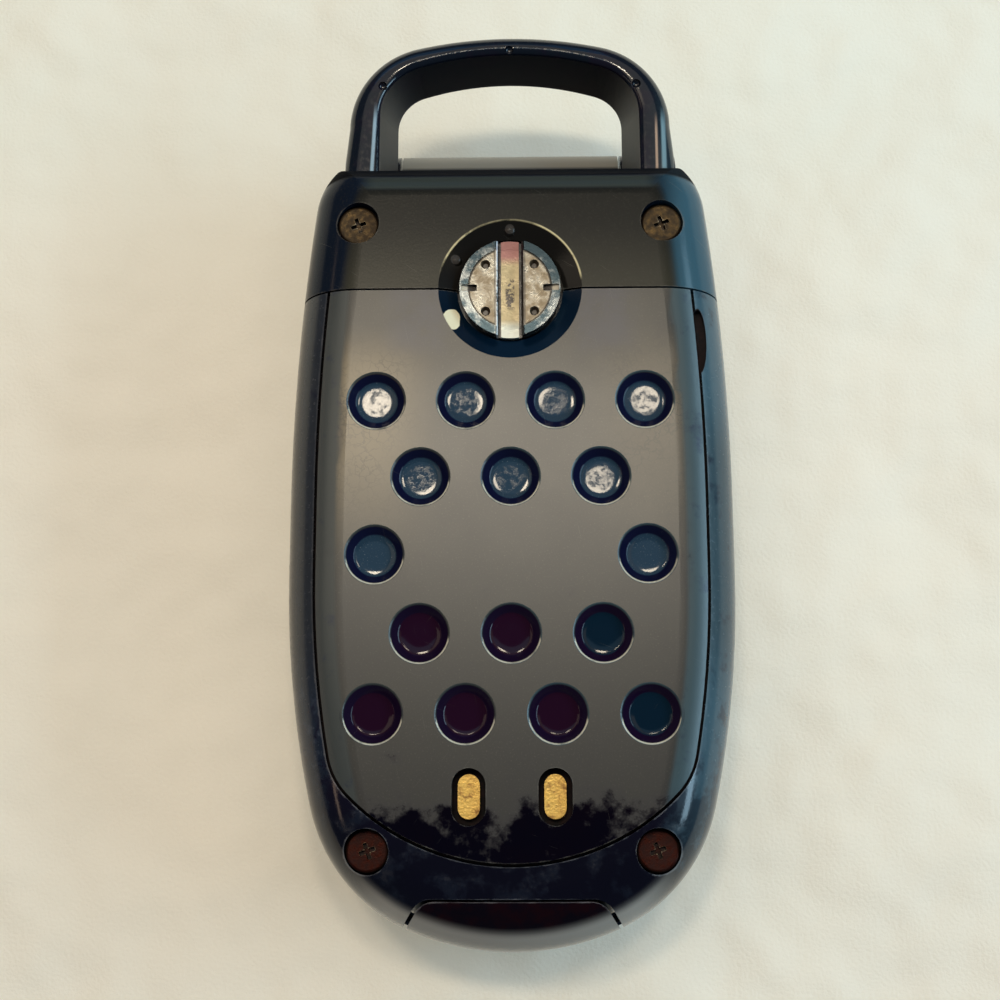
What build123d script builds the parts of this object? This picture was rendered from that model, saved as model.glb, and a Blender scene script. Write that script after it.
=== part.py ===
from build123d import *
import math
import os

# A rugged clamshell phone, shut and lying on its lid with its back up. Millimetres.
# +X runs across the phone, +Y towards the carry loop, +Z up out of the back. The origin
# is on the table under the middle of the phone's box.

# ---------------------------------------------------------------- driving sizes
# Plan outline, seen on the back.
overall_length = 107.4
half_width = 25.7
bottom_radius = 29.5
corner_radius = 19.0
lower_side_radius = 115.0
upper_side_radius = 277.0
lower_widest_y = -12.2
upper_widest_y = -4.0
shoulder_radius = 8.5

# Heights above the table.
lid_thickness = 10.4
parting_gap = 0.3
base_thickness = 14.3
front_case_height = 4.5
gasket_height = 0.3
lid_outer_height = 6.4

# Walls and rounded edges.
wall = 1.5
panel = 1.5
back_panel = 1.7
back_roll_radius = 7.0
front_edge_radius = 0.8
lid_roll_radius = 3.0
ledge_width = 1.3
seam = 0.35
fit_gap = 0.1

# Clamshell hinge.
loop_reach = 15.7
knuckle_radius = 4.4
knuckle_gap = 0.3
barrel_half_length = 13.4
base_knuckle_end = 20.5
shoulder_past_hinge = 1.5
end_face_before_hinge = 1.5
end_roll_radius = 4.6
ramp_angle = 25.0
cartridge_radius = 2.8
cartridge_length = 15.4
pivot_radius = 1.5
bush_radius = 2.2
bush_bore_radius = 1.65
bush_length_inside = 4.0
pivot_engagement = 4.6
running_gap = 0.05

# Carry loop.
loop_half_width = 19.3
loop_top_radius = 50.0
loop_corner_radius = 10.5
loop_foot_half_width = 19.75
loop_bottom_z = 17.0
loop_top_z = 22.3
loop_inner_half_width = 13.5
loop_inner_corner_radius = 4.4
loop_top_bar = 4.6
loop_inner_crown = 2.7
loop_inner_taper = 20.0
loop_outer_round = 2.2
loop_inner_round = 0.9
loop_edge_round = 0.6
loop_foot_length = 5.0
loop_pit_radius = 0.55
loop_pit_x = 15.2
loop_pit_drop = 6.8
loop_crown_pit_drop = 2.3

# Battery cover and its opening.
upper_case_length = 17.5
split_gap = 0.22
cover_side_inset = 3.85
cover_bottom_inset = 9.9
cover_bottom_radius = 25.2
cover_corner_radius = 7.4
cover_thickness = 1.8
seal_height = 0.4
seal_width = 1.0
seal_margin = 0.8
dimple_rim_radius = 3.35
dimple_floor_radius = 2.3
dimple_depth = 1.0
dimple_rim_round = 0.6
dimple_floor_round = 0.5
dimple_rim_slope = 12.0
dimple_pitch = 10.15
dimple_row_pitch = 8.8
dimple_grid_below_split = 30.8
finger_notch_length = 7.5
finger_notch_width = 0.92
finger_notch_below_split = 6.15
finger_notch_depth = 2.1

# Coin lock.
lock_disc_radius = 5.8
lock_rise = 0.4
lock_dish_radius = 8.25
lock_dish_depth = 0.85
lock_rim_width = 1.0
lock_face_drop = 0.15
coin_slot_width = 2.1
coin_slot_top_width = 3.5
coin_slot_depth = 0.9
coin_gutter_width = 0.45
coin_gutter_depth = 0.4
lock_rim_break = 20.0
lock_pit_radius = 0.55
lock_pit_depth = 0.6
lock_pit_offset = 2.8
lock_tick_length = 1.8
lock_tick_width = 0.75
lock_tick_depth = 0.5
lock_tick_slope = 16.0
lock_pad_radius = 5.5
lock_pad_height = 1.0
lock_pad_lap = 0.4
lock_shaft_radius = 1.6
lock_cam_height = 1.1
lock_cam_radius = 5.2
lock_cam_width = 4.4
lock_clearance = 0.3
index_dot_radius = 0.55
index_dot_dome_radius = 0.9
index_dot_ring_radius = 7.25
lock_turn = 60.0

# Screws through the back.
top_screw_side_margin = 8.05
top_screw_from_hinge = 9.4
bottom_screw_side_margin = 9.9
bottom_screw_from_end = 11.15
screw_recess_radius = 2.5
top_screw_sink = 1.0
bottom_screw_sink = 2.0
screw_head_radius = 2.36
screw_head_height = 1.4
screw_shank_radius = 0.8
screw_drive_width = 0.45
screw_drive_length = 1.8
screw_drive_depth = 0.7
screw_drive_turn = 20.0
screw_boss_radius = 3.6
screw_tip_cover = 0.5

# Battery and charging contacts.
battery_side_margin = 8.9
battery_from_end = 24.05
battery_thickness = 4.6
battery_below_split = 9.0
bay_floor = 1.2
bay_gap = 0.3
terminal_count = 3
terminal_pitch = 3.2
terminal_size = 1.6
contact_x = 4.7
contact_from_end = 16.95
window_width = 3.7
window_length = 6.15
contact_width = 2.4
contact_length = 4.8
contact_below_back = 0.95

# Charging port and its cover.
port_cover_half_width = 9.7
port_cover_from_end = 5.95
port_cover_flare = 32.0
port_cover_corner = 2.4
port_cover_thickness = 1.7
port_cover_gap = 0.25
port_width = 12.0
port_height = 3.4
port_depth = 6.0

# Keypad on the base's inner face.
key_width = 11.8
key_height = 7.0
key_pitch_x = 13.4
key_pitch_y = 8.8
key_corner = 2.0
key_proud = 0.15
key_gap = 0.25
key_flange = 0.45
key_flange_height = 0.4
key_travel = 0.35
key_seat_gap = 0.05
key_rows_from_hinge = 41.5
call_key_height = 5.4
call_keys_from_hinge = 31.6
nav_from_hinge = 17.6
nav_outer_radius = 8.2
nav_inner_radius = 4.0
ok_radius = 3.5
soft_key_width = 8.0
soft_key_height = 5.0
soft_key_x = 15.6
soft_keys_from_hinge = 17.4
key_pip_radius = 0.8

# Side keys.
side_key_proud = 0.4
side_key_height = 2.2
side_key_z = 13.1
rocker_length = 14.0
rocker_from_hinge = 34.0
camera_key_length = 7.5
camera_key_from_hinge = 36.0
side_key_depth = 2.3
side_key_flange = 0.7
side_key_flange_depth = 0.5

# Boards and modules inside the base.
board_thickness = 1.0
board_ledge = 1.2
board_gap = 0.25
dome_thickness = 0.25
dome_inset = 3.4
board_top_from_hinge = 6.5
board_bottom_from_end = 8.6
can_height = 1.8
can_width = 26.0
can_length = 20.0
motor_radius = 2.0
motor_length = 9.0
antenna_width = 11.0
antenna_depth = 4.7
antenna_height = 5.0
module_before_hinge = 5.2
mic_radius = 2.0
mic_height = 1.1
mic_hole_radius = 0.5
mic_from_end = 6.6

# Lid.
lid_inset = 0.2
lid_board_thickness = 0.8
lid_board_z = 4.6
lid_board_side_margin = 6.7
lid_board_from_hinge = 15.0
lid_board_from_end = 14.7
lid_rib_width = 1.2
display_side_margin = 7.7
display_from_hinge = 24.5
display_from_end = 19.2
display_lens_thickness = 0.8
display_lens_drop = 0.05
display_panel_margin = 1.6
display_panel_thickness = 1.9
sub_display_from_hinge = 50.0
sub_ring_outer = 13.0
sub_ring_inner = 10.6
sub_lens_thickness = 0.8
sub_panel_half_width = 7.2
outer_recess = 0.15
camera_from_hinge = 26.5
camera_barrel_radius = 3.0
camera_body_radius = 4.0
flash_x = 9.0
flash_radius = 1.6
earpiece_from_end = 7.2
earpiece_width = 10.0
earpiece_depth = 4.0
earpiece_height = 2.0
sound_slot_width = 6.5
sound_slot_height = 0.9
speaker_radius = 7.0
speaker_height = 2.6
speaker_from_end = 20.2
speaker_hole_radius = 0.6
speaker_hole_ring = 3.2
speaker_hole_count = 6
bumper_radius = 1.5
bumper_height = 0.25
bumper_x = 14.5
bumper_from_end = 8.0
lid_screw_side_margin = 5.4
lid_screw_from_hinge = 16.0
lid_screw_from_end = 25.7
lid_screw_head_radius = 1.5
lid_screw_head_height = 0.8
lid_screw_recess = 1.0
lid_screw_shank_radius = 0.6
lid_screw_length = 6.4
lid_boss_radius = 2.0

# ---------------------------------------------------------------- derived places
bottom_end_y = -overall_length / 2
loop_end_y = overall_length / 2
hinge_y = loop_end_y - loop_reach
hinge_z = lid_thickness + parting_gap / 2
shoulder_y = hinge_y + shoulder_past_hinge
end_face_y = hinge_y - end_face_before_hinge
split_y = hinge_y - upper_case_length
top_screw_x = half_width - top_screw_side_margin
bottom_screw_x = half_width - bottom_screw_side_margin
key_rows_top = hinge_y - key_rows_from_hinge
call_key_y = hinge_y - call_keys_from_hinge
nav_y = hinge_y - nav_from_hinge
soft_key_y = hinge_y - soft_keys_from_hinge
rocker_y = hinge_y - rocker_from_hinge
camera_key_y = hinge_y - camera_key_from_hinge
lid_board_half_width = half_width - lid_board_side_margin
lid_board_top_y = hinge_y - lid_board_from_hinge
lid_board_low_y = bottom_end_y + lid_board_from_end
display_width = 2 * (half_width - display_side_margin)
display_length = hinge_y - display_from_hinge - bottom_end_y - display_from_end
display_y = bottom_end_y + display_from_end + display_length / 2
sub_display_y = hinge_y - sub_display_from_hinge
camera_y = hinge_y - camera_from_hinge
speaker_y = bottom_end_y + speaker_from_end
lid_screw_x = half_width - lid_screw_side_margin
lid_screw_top_y = hinge_y - lid_screw_from_hinge
lid_screw_bottom_y = bottom_end_y + lid_screw_from_end
battery_half_width = half_width - battery_side_margin
base_z = lid_thickness + parting_gap
back_z = base_z + base_thickness
front_case_top_z = base_z + front_case_height
rear_z = front_case_top_z + gasket_height
notch_half_width = barrel_half_length + knuckle_gap
knuckle_clear_radius = knuckle_radius + knuckle_gap
cover_z = back_z - cover_thickness
ledge_z = cover_z - seal_height
battery_top_z = cover_z - bay_gap
battery_z = battery_top_z - battery_thickness
floor_z = battery_z - bay_floor
battery_end_y = split_y - battery_below_split
battery_length = battery_end_y - bottom_end_y - battery_from_end
board_z = base_z + panel + board_ledge
board_top_z = board_z + board_thickness
contact_y = bottom_end_y + contact_from_end
screw_places = [
    (side * x, y, back_z - sink)
    for x, y, sink in (
        (top_screw_x, hinge_y - top_screw_from_hinge, top_screw_sink),
        (bottom_screw_x, bottom_end_y + bottom_screw_from_end, bottom_screw_sink),
    )
    for side in (-1, 1)
]

# Far past every part, for cutters that only need to reach through.
far = 3 * overall_length


# ---------------------------------------------------------------- plan outlines
def on_circle(centre, radius, degrees):
    """The point on a circle at an angle from +X."""
    turn = math.radians(degrees)
    return (centre[0] + radius * math.cos(turn), centre[1] + radius * math.sin(turn))


def arc(centre, radius, start, end):
    """An arc between two angles from +X."""
    return ThreePointArc(
        on_circle(centre, radius, start),
        on_circle(centre, radius, (start + end) / 2),
        on_circle(centre, radius, end),
    )


def bearing(origin, target):
    """The angle from +X of the line between two points."""
    return math.degrees(math.atan2(target[1] - origin[1], target[0] - origin[0]))


def corner_centre(centre_a, reach_a, centre_b, reach_b, upper):
    """Where two circles cross: the centre of the corner arc between two tangent arcs."""
    dx, dy = centre_b[0] - centre_a[0], centre_b[1] - centre_a[1]
    span = math.hypot(dx, dy)
    along = (reach_a**2 - reach_b**2 + span**2) / (2 * span)
    across = math.sqrt(max(reach_a**2 - along**2, 0))
    ux, uy = dx / span, dy / span
    options = [
        (centre_a[0] + along * ux - side * across * uy, centre_a[1] + along * uy + side * across * ux)
        for side in (-1, 1)
    ]
    return sorted(options, key=lambda point: point[1])[1 if upper else 0]


def mirrored_face(right_edges):
    """A face from the edges of its right half and their mirror images."""
    left_edges = [mirror(edge, about=Plane.YZ) for edge in right_edges]
    return make_face(list(right_edges) + left_edges)


def side_centres():
    """Centres of the two long side arcs of the body."""
    return (half_width - lower_side_radius, lower_widest_y), (half_width - upper_side_radius, upper_widest_y)


def lower_edges(inset, end_y, end_radius, end_corner):
    """Bottom arc, corner arc and lower side arc, up to the straight part of the side."""
    low, _ = side_centres()
    side_radius = lower_side_radius - inset
    end_centre = (0, end_y + end_radius)
    corner = corner_centre(end_centre, end_radius - end_corner, low, side_radius - end_corner, False)
    first, second = bearing(end_centre, corner), bearing(low, corner)
    return [
        arc(end_centre, end_radius, -90, first),
        arc(corner, end_corner, first, second),
        arc(low, side_radius, second, 0),
        Line((half_width - inset, lower_widest_y), (half_width - inset, upper_widest_y)),
    ]


def body_outline(inset=0):
    """The whole body's plan, shrunk by inset all round."""
    _, high = side_centres()
    side_radius = upper_side_radius - inset
    corner_y = shoulder_y - shoulder_radius
    rise = corner_y - high[1]
    corner_x = high[0] + math.sqrt((upper_side_radius - shoulder_radius) ** 2 - rise**2)
    turn = bearing(high, (corner_x, corner_y))
    top = shoulder_y - inset
    edges = lower_edges(inset, bottom_end_y + inset, bottom_radius - inset, corner_radius - inset) + [
        arc(high, side_radius, 0, turn),
        arc((corner_x, corner_y), shoulder_radius - inset, turn, 90),
        Line((corner_x, top), (0, top)),
    ]
    return mirrored_face(edges)


def cover_outline(grow=0):
    """The battery cover's plan, square at the split line, grown by grow."""
    inset = cover_side_inset - grow
    _, high = side_centres()
    side_radius = upper_side_radius - inset
    top = split_y - split_gap / 2 + grow
    turn = math.degrees(math.asin((top - high[1]) / side_radius))
    corner = on_circle(high, side_radius, turn)
    edges = lower_edges(
        inset,
        bottom_end_y + cover_bottom_inset - grow,
        cover_bottom_radius + grow,
        cover_corner_radius + grow,
    ) + [
        arc(high, side_radius, 0, turn),
        Line(corner, (0, top)),
    ]
    return mirrored_face(edges)


def base_plan(inset=0):
    """The base's plan with the bay for the lid's hinge barrel."""
    bay = Rectangle(2 * (notch_half_width + inset), far, align=(Align.CENTER, Align.MIN))
    return body_outline(inset) - Pos(0, end_face_y - inset) * bay


def slab(face, low, high):
    """A plan face as a solid between two heights."""
    return Pos(0, 0, low) * extrude(face, high - low, dir=(0, 0, 1))


def block(x0, x1, y0, y1, z0, z1):
    """A box between two corners."""
    return Pos(x0, y0, z0) * Box(x1 - x0, y1 - y0, z1 - z0, align=(Align.MIN, Align.MIN, Align.MIN))


def post(x, y, radius, z0, z1):
    """An upright cylinder."""
    return Pos(x, y, z0) * Cylinder(radius, z1 - z0, align=(Align.CENTER, Align.CENTER, Align.MIN))


def along_x(radius, x0, x1):
    """A cylinder about the hinge axis."""
    rod = Rotation(0, 90, 0) * Cylinder(radius, x1 - x0, align=(Align.CENTER, Align.CENTER, Align.MIN))
    return Pos(x0, hinge_y, hinge_z) * rod


def both_sides(solid):
    """A solid and its mirror image across the phone."""
    return solid + mirror(solid, about=Plane.YZ)


def first_solid(shape):
    """The largest solid of a result."""
    return shape.solids().sort_by(SortBy.VOLUME)[-1]


# ---------------------------------------------------------------- shared solids
def rounded_base(inset=0):
    """The base from its inner face to its back, with the rolled back edge."""
    solid = slab(body_outline(inset), base_z + inset, back_z - inset)
    rim = solid.faces().sort_by(Axis.Z)[-1].edges()
    return fillet(rim, back_roll_radius - inset)


def end_run(low_z):
    """What lies past the rounded end over the hinge, above a height, across the whole width."""
    roll = end_roll_radius
    start = end_face_y - roll
    profile = make_face(
        [
            Line((end_face_y, low_z), (end_face_y, back_z - roll)),
            ThreePointArc(
                (end_face_y, back_z - roll),
                on_circle((start, back_z - roll), roll, 45),
                (start, back_z),
            ),
            Line((start, back_z), (start, back_z + 1)),
            Line((start, back_z + 1), (shoulder_y + 1, back_z + 1)),
            Line((shoulder_y + 1, back_z + 1), (shoulder_y + 1, low_z)),
            Line((shoulder_y + 1, low_z), (end_face_y, low_z)),
        ]
    )
    return extrude(Plane.YZ * profile, far / 2, both=True)


def end_ledge():
    """What is cut from both shoulders so that the loop's legs stand on a low ledge."""
    return end_run(loop_bottom_z)


def hinge_bay():
    """What is cut from the base for the lid's barrel: the bay and the rounded end above it."""
    run = end_run(base_z - 1)
    lean = math.tan(math.radians(loop_inner_taper))
    straight_z = loop_bottom_z - (loop_inner_half_width - notch_half_width) / lean
    wide = notch_half_width + (back_z + 1 - straight_z) * lean
    sides = make_face(
        Polyline(
            (-notch_half_width, base_z - 1),
            (-notch_half_width, straight_z),
            (-wide, back_z + 1),
            (wide, back_z + 1),
            (notch_half_width, straight_z),
            (notch_half_width, base_z - 1),
            close=True,
        )
    )
    wedge = extrude(Plane.XZ * sides, far / 2, both=True)
    barrel_room = along_x(knuckle_clear_radius, -notch_half_width, notch_half_width)
    return (run & wedge) + barrel_room


def screw_columns(z0, z1):
    """The bosses round the four back screws."""
    return [post(x, y, screw_boss_radius, z0, z1) for x, y, _ in screw_places]


def screw_bores():
    """Head recesses and shank holes of the four back screws."""
    bores = []
    for x, y, head_top in screw_places:
        bores.append(post(x, y, screw_recess_radius, head_top - screw_head_height, back_z + 1))
        bores.append(post(x, y, screw_shank_radius + fit_gap, base_z + panel + screw_tip_cover, back_z))
    return bores


# ---------------------------------------------------------------- base shells
def make_front_case():
    """The base's inner half: keypad panel, side walls and the two hinge knuckles."""
    shell = rounded_base() & block(-far, far, -far, far, base_z, front_case_top_z)
    edge = shell.faces().sort_by(Axis.Z)[0].edges()
    shell = fillet(edge, front_edge_radius)
    low_room = slab(base_plan(wall + ledge_width), base_z + panel, board_z)
    high_room = slab(base_plan(wall), board_z, front_case_top_z + 1)
    room = low_room + high_room
    room -= along_x(knuckle_clear_radius + wall, -far, far)
    housing = block(notch_half_width, half_width, hinge_y - knuckle_radius, far, base_z, front_case_top_z)
    room -= both_sides(housing)
    for column in screw_columns(base_z, front_case_top_z):
        room -= column
    shell -= hinge_bay()
    shell -= room
    shell += both_sides(along_x(knuckle_radius, notch_half_width, base_knuckle_end))
    shell -= along_x(pivot_radius + running_gap, -notch_half_width - pivot_engagement - fit_gap, 0)
    shell -= along_x(bush_radius + running_gap, 0, notch_half_width + pivot_engagement + fit_gap)
    for bore in screw_bores():
        shell -= bore
    for x, y, sketch in key_sketches().values():
        shell -= slab(Pos(x, y) * offset(sketch, key_gap), base_z - 1, base_z + panel + 1)
    shell -= post(0, bottom_end_y + mic_from_end, mic_hole_radius, base_z - 1, base_z + panel + 1)
    for opening in side_key_openings():
        shell -= opening
    return first_solid(shell)


def make_case_gasket():
    """The seal between the front case and the two rear cases."""
    ring = base_plan(wall * 0.3) - base_plan(wall * 0.8)
    return slab(ring, front_case_top_z, rear_z)


def rear_shell(y0, y1):
    """A length of the rolled back above the gasket, solid inside."""
    shell = rounded_base() & block(-far, far, y0, y1, rear_z, back_z)
    return shell - hinge_bay()


def make_upper_rear_case():
    """The back's upper end, over the hinge: takes the carry loop and half of the lock dish."""
    shell = rear_shell(split_y + split_gap / 2, far) - end_ledge()
    plan = base_plan(wall) & Pos(0, split_y + split_gap / 2 + wall) * Rectangle(
        far, far, align=(Align.CENTER, Align.MIN)
    )
    room = slab(plan, rear_z - 1, back_z - back_panel) & rounded_base(wall)
    for column in screw_columns(rear_z, back_z):
        room -= column
    room -= post(0, split_y, lock_pad_radius + lock_clearance + wall, rear_z, back_z)
    foot_y = end_face_y - loop_foot_length
    room -= both_sides(block(loop_inner_half_width - wall, far, foot_y, far, rear_z, back_z))
    room -= block(-far, far, end_face_y - end_roll_radius, far, back_z - end_roll_radius, back_z)
    shell -= room
    shell -= loop_body()
    shell -= lock_dish()
    shell -= lock_well()
    for degrees in (90, 90 + lock_turn):
        shell += index_dot(degrees)
    for bore in screw_bores():
        shell -= bore
    return first_solid(shell)


def lock_dish():
    """The shallow conical dish round the lock, in the upper case and the battery cover alike."""
    low_radius = lock_disc_radius + lock_clearance
    spread = (lock_dish_radius - low_radius) / lock_dish_depth
    height = 2 * lock_dish_depth
    cone = Cone(low_radius, low_radius + spread * height, height, align=(Align.CENTER, Align.CENTER, Align.MIN))
    return Pos(0, split_y, back_z - lock_dish_depth) * cone


def index_dot(degrees):
    """A domed dot on the dish that marks where the lock's slot points."""
    low_radius = lock_disc_radius + lock_clearance
    share = (index_dot_ring_radius - low_radius) / (lock_dish_radius - low_radius)
    surface_z = back_z - lock_dish_depth * (1 - share)
    sink = math.sqrt(index_dot_dome_radius**2 - index_dot_radius**2)
    x, y = on_circle((0, split_y), index_dot_ring_radius, degrees)
    return Pos(x, y, surface_z - sink) * Sphere(index_dot_dome_radius)


def lock_well():
    """The round well under the lock disc that lets the cover lift with its pad and cam."""
    floor = cover_z - lock_pad_height - lock_cam_height - lock_clearance
    narrow = post(0, split_y, lock_disc_radius + lock_clearance, floor, back_z + 1)
    wide = post(0, split_y, lock_disc_radius + 2 * lock_clearance + lock_pad_lap, floor, back_z + 1)
    return narrow + (wide & block(-far, far, -far, split_y, floor, back_z + 1))


def make_rear_case():
    """The back's long frame round the battery cover, with the battery bay under it."""
    shell = rear_shell(-far, split_y - split_gap / 2)
    shell -= slab(cover_outline(seam), ledge_z, back_z + 1)
    bay_top = battery_end_y + bay_gap
    bay_low = battery_end_y - battery_length - bay_gap
    bay_side = battery_half_width + bay_gap
    shell -= block(-bay_side, bay_side, bay_low, bay_top, battery_z, back_z)
    under = slab(base_plan(wall), rear_z - 1, floor_z)
    port_room_z = floor_z + port_height + board_thickness
    port_back_y = bottom_end_y + port_cover_thickness + port_depth
    under += block(-port_width / 2 - wall, port_width / 2 + wall, bottom_end_y + wall * 2, bay_low - wall,
                   rear_z - 1, port_room_z) & slab(base_plan(wall), rear_z - 1, back_z)
    for column in screw_columns(rear_z, back_z):
        under -= column
    under -= block(-far, far, split_y - split_gap / 2 - wall, far, rear_z - 1, back_z)
    shell -= under
    shell -= lock_well()
    for bore in screw_bores():
        shell -= bore
    shell -= port_cover_pocket()
    port_z = board_top_z + fit_gap
    shell -= block(-port_width / 2 - fit_gap, port_width / 2 + fit_gap, bottom_end_y, port_back_y,
                   rear_z - 1, port_z + port_height + fit_gap)
    shell -= finger_notch()
    return first_solid(shell)


def finger_notch():
    """The fingernail notch in the frame beside the cover's right edge."""
    edge_x = half_width - cover_side_inset - (split_y - finger_notch_below_split - upper_widest_y) ** 2 / (
        2 * upper_side_radius
    )
    slot = Ellipse(finger_notch_width, finger_notch_length / 2)
    centre = Pos(edge_x + seam, split_y - finger_notch_below_split)
    return slab(centre * slot, back_z - finger_notch_depth, back_z + 1)


# ---------------------------------------------------------------- carry loop
def loop_outline():
    """The loop's outer edge in plan, down to its feet inside the shoulders."""
    top_centre = (0, loop_end_y - loop_top_radius)
    foot_y = end_face_y - loop_foot_length
    corner_x = loop_half_width - loop_corner_radius
    reach = loop_top_radius - loop_corner_radius
    corner = (corner_x, top_centre[1] + math.sqrt(reach**2 - corner_x**2))
    turn = bearing(top_centre, corner)
    return mirrored_face(
        [
            arc(top_centre, loop_top_radius, 90, turn),
            arc(corner, loop_corner_radius, turn, 0),
            Line((loop_half_width, corner[1]), (loop_foot_half_width, hinge_y)),
            Line((loop_foot_half_width, hinge_y), (loop_half_width, foot_y)),
            Line((loop_half_width, foot_y), (0, foot_y)),
        ]
    )


def loop_body():
    """The carry loop with its feet in the shoulders, before its edges are rounded."""
    return slab(loop_outline(), loop_bottom_z, loop_top_z) - loop_opening()


def loop_opening():
    """The hole through the loop, wider towards the back, and the bay's own width below it."""
    inner_top = loop_end_y - loop_top_bar
    inner_low = end_face_y - loop_foot_length
    crown_radius = (loop_inner_half_width**2 + loop_inner_crown**2) / (2 * loop_inner_crown)
    crown = Pos(0, inner_top - crown_radius) * Circle(crown_radius)
    window = Pos(0, (inner_top + inner_low) / 2) * Rectangle(
        2 * loop_inner_half_width, inner_top - inner_low + loop_inner_crown
    )
    plan = crown & window
    upper = plan.vertices().group_by(Axis.Y)[-1]
    plan = fillet(upper, loop_inner_corner_radius)
    low_z = loop_bottom_z - loop_edge_round
    cone = extrude(plan, loop_top_z + 1 - low_z, taper=-loop_inner_taper, dir=(0, 0, 1))
    return Pos(0, 0, low_z) * cone


def make_carry_loop():
    """The carry loop: a bar with a round outer shoulder, thin at the top and broad at its legs."""
    loop = slab(loop_outline(), loop_bottom_z, loop_top_z)
    top_edges = loop.faces().sort_by(Axis.Z)[-1].edges()
    loop = fillet([edge for edge in top_edges if edge.center().Y > end_face_y], loop_outer_round)
    opening = loop_opening()
    loop = first_solid(loop - opening)
    top_edges = loop.faces().sort_by(Axis.Z)[-1].edges()
    inner_edges = [edge for edge in top_edges if opening.distance_to(edge.position_at(0.5)) < fit_gap / 2]
    loop = fillet([edge for edge in inner_edges if edge.center().Y > end_face_y - loop_foot_length], loop_inner_round)
    for x, drop in ((-loop_pit_x, loop_pit_drop), (0, loop_crown_pit_drop), (loop_pit_x, loop_pit_drop)):
        loop -= Pos(x, loop_end_y - drop, loop_top_z) * Sphere(loop_pit_radius)
    return first_solid(loop)


# ---------------------------------------------------------------- battery cover and lock
def dimple_places():
    """Centres of the sixteen dimples: staggered rows round a bare middle."""
    middle_y = split_y - dimple_grid_below_split
    rows = ((-1.5, -0.5, 0.5, 1.5), (-1, 0, 1), (-1.5, 1.5), (-1, 0, 1), (-1.5, -0.5, 0.5, 1.5))
    return [
        (column * dimple_pitch, middle_y + (2 - row) * dimple_row_pitch)
        for row, columns in enumerate(rows)
        for column in columns
    ]


def dimple_cutter():
    """One dimple: a flat floor, a steep wall, and a soft rim that runs out onto the back."""
    rise = math.radians(dimple_rim_slope)
    wall_turn = math.atan2(dimple_depth, dimple_rim_radius - dimple_floor_radius)
    lead = dimple_rim_round * math.tan((wall_turn - rise) / 2)
    outer = (dimple_rim_radius + lead * math.cos(rise), lead * math.sin(rise))
    far_out = (outer[0] + 1, outer[1] + math.tan(rise))
    rim = (dimple_rim_radius, 0)
    floor = (dimple_floor_radius, -dimple_depth)
    profile = make_face(Polyline((0, -dimple_depth), floor, rim, far_out, (0, far_out[1]), close=True))
    rim_corner = profile.vertices().sort_by_distance((rim[0], rim[1], 0))[0]
    profile = fillet(rim_corner, dimple_rim_round)
    floor_corner = profile.vertices().sort_by_distance((floor[0], floor[1], 0))[0]
    profile = fillet(floor_corner, dimple_floor_round)
    return revolve(Plane.XZ * profile, Axis.Z)


def make_battery_cover():
    """The rolled-edge cover with its dimples, contact windows and the pad under the lock."""
    cover = rounded_base() & slab(cover_outline(), cover_z, back_z + 1)
    cover += post(0, split_y, lock_pad_radius, cover_z - lock_pad_height, cover_z + fit_gap)
    lap = post(0, split_y, lock_disc_radius + lock_clearance + lock_pad_lap, cover_z - lock_pad_height, cover_z)
    cover += lap & block(-far, far, -far, split_y - split_gap / 2, cover_z - lock_pad_height, cover_z)
    cover -= lock_dish()
    cover -= post(0, split_y, lock_disc_radius + lock_clearance, cover_z + fit_gap, back_z + 1)
    cover -= post(0, split_y, lock_shaft_radius + running_gap, cover_z - far, back_z)
    dimple = dimple_cutter()
    for x, y in dimple_places():
        cover -= Pos(x, y, back_z) * dimple
    for side in (-1, 1):
        window = SlotOverall(window_length, window_width, rotation=90)
        cover -= slab(Pos(side * contact_x, contact_y) * window, cover_z - 1, back_z + 1)
    return first_solid(cover)


def make_battery_seal():
    """The soft seal under the cover, round the battery bay."""
    side = battery_half_width + bay_gap + seal_margin
    top = battery_end_y + bay_gap + seal_margin
    low = battery_end_y - battery_length - bay_gap - seal_margin
    outer = Rectangle(2 * (side + seal_width), top - low + 2 * seal_width)
    inner = Rectangle(2 * side, top - low)
    return slab(Pos(0, (top + low) / 2) * (outer - inner), ledge_z, cover_z)


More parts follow.
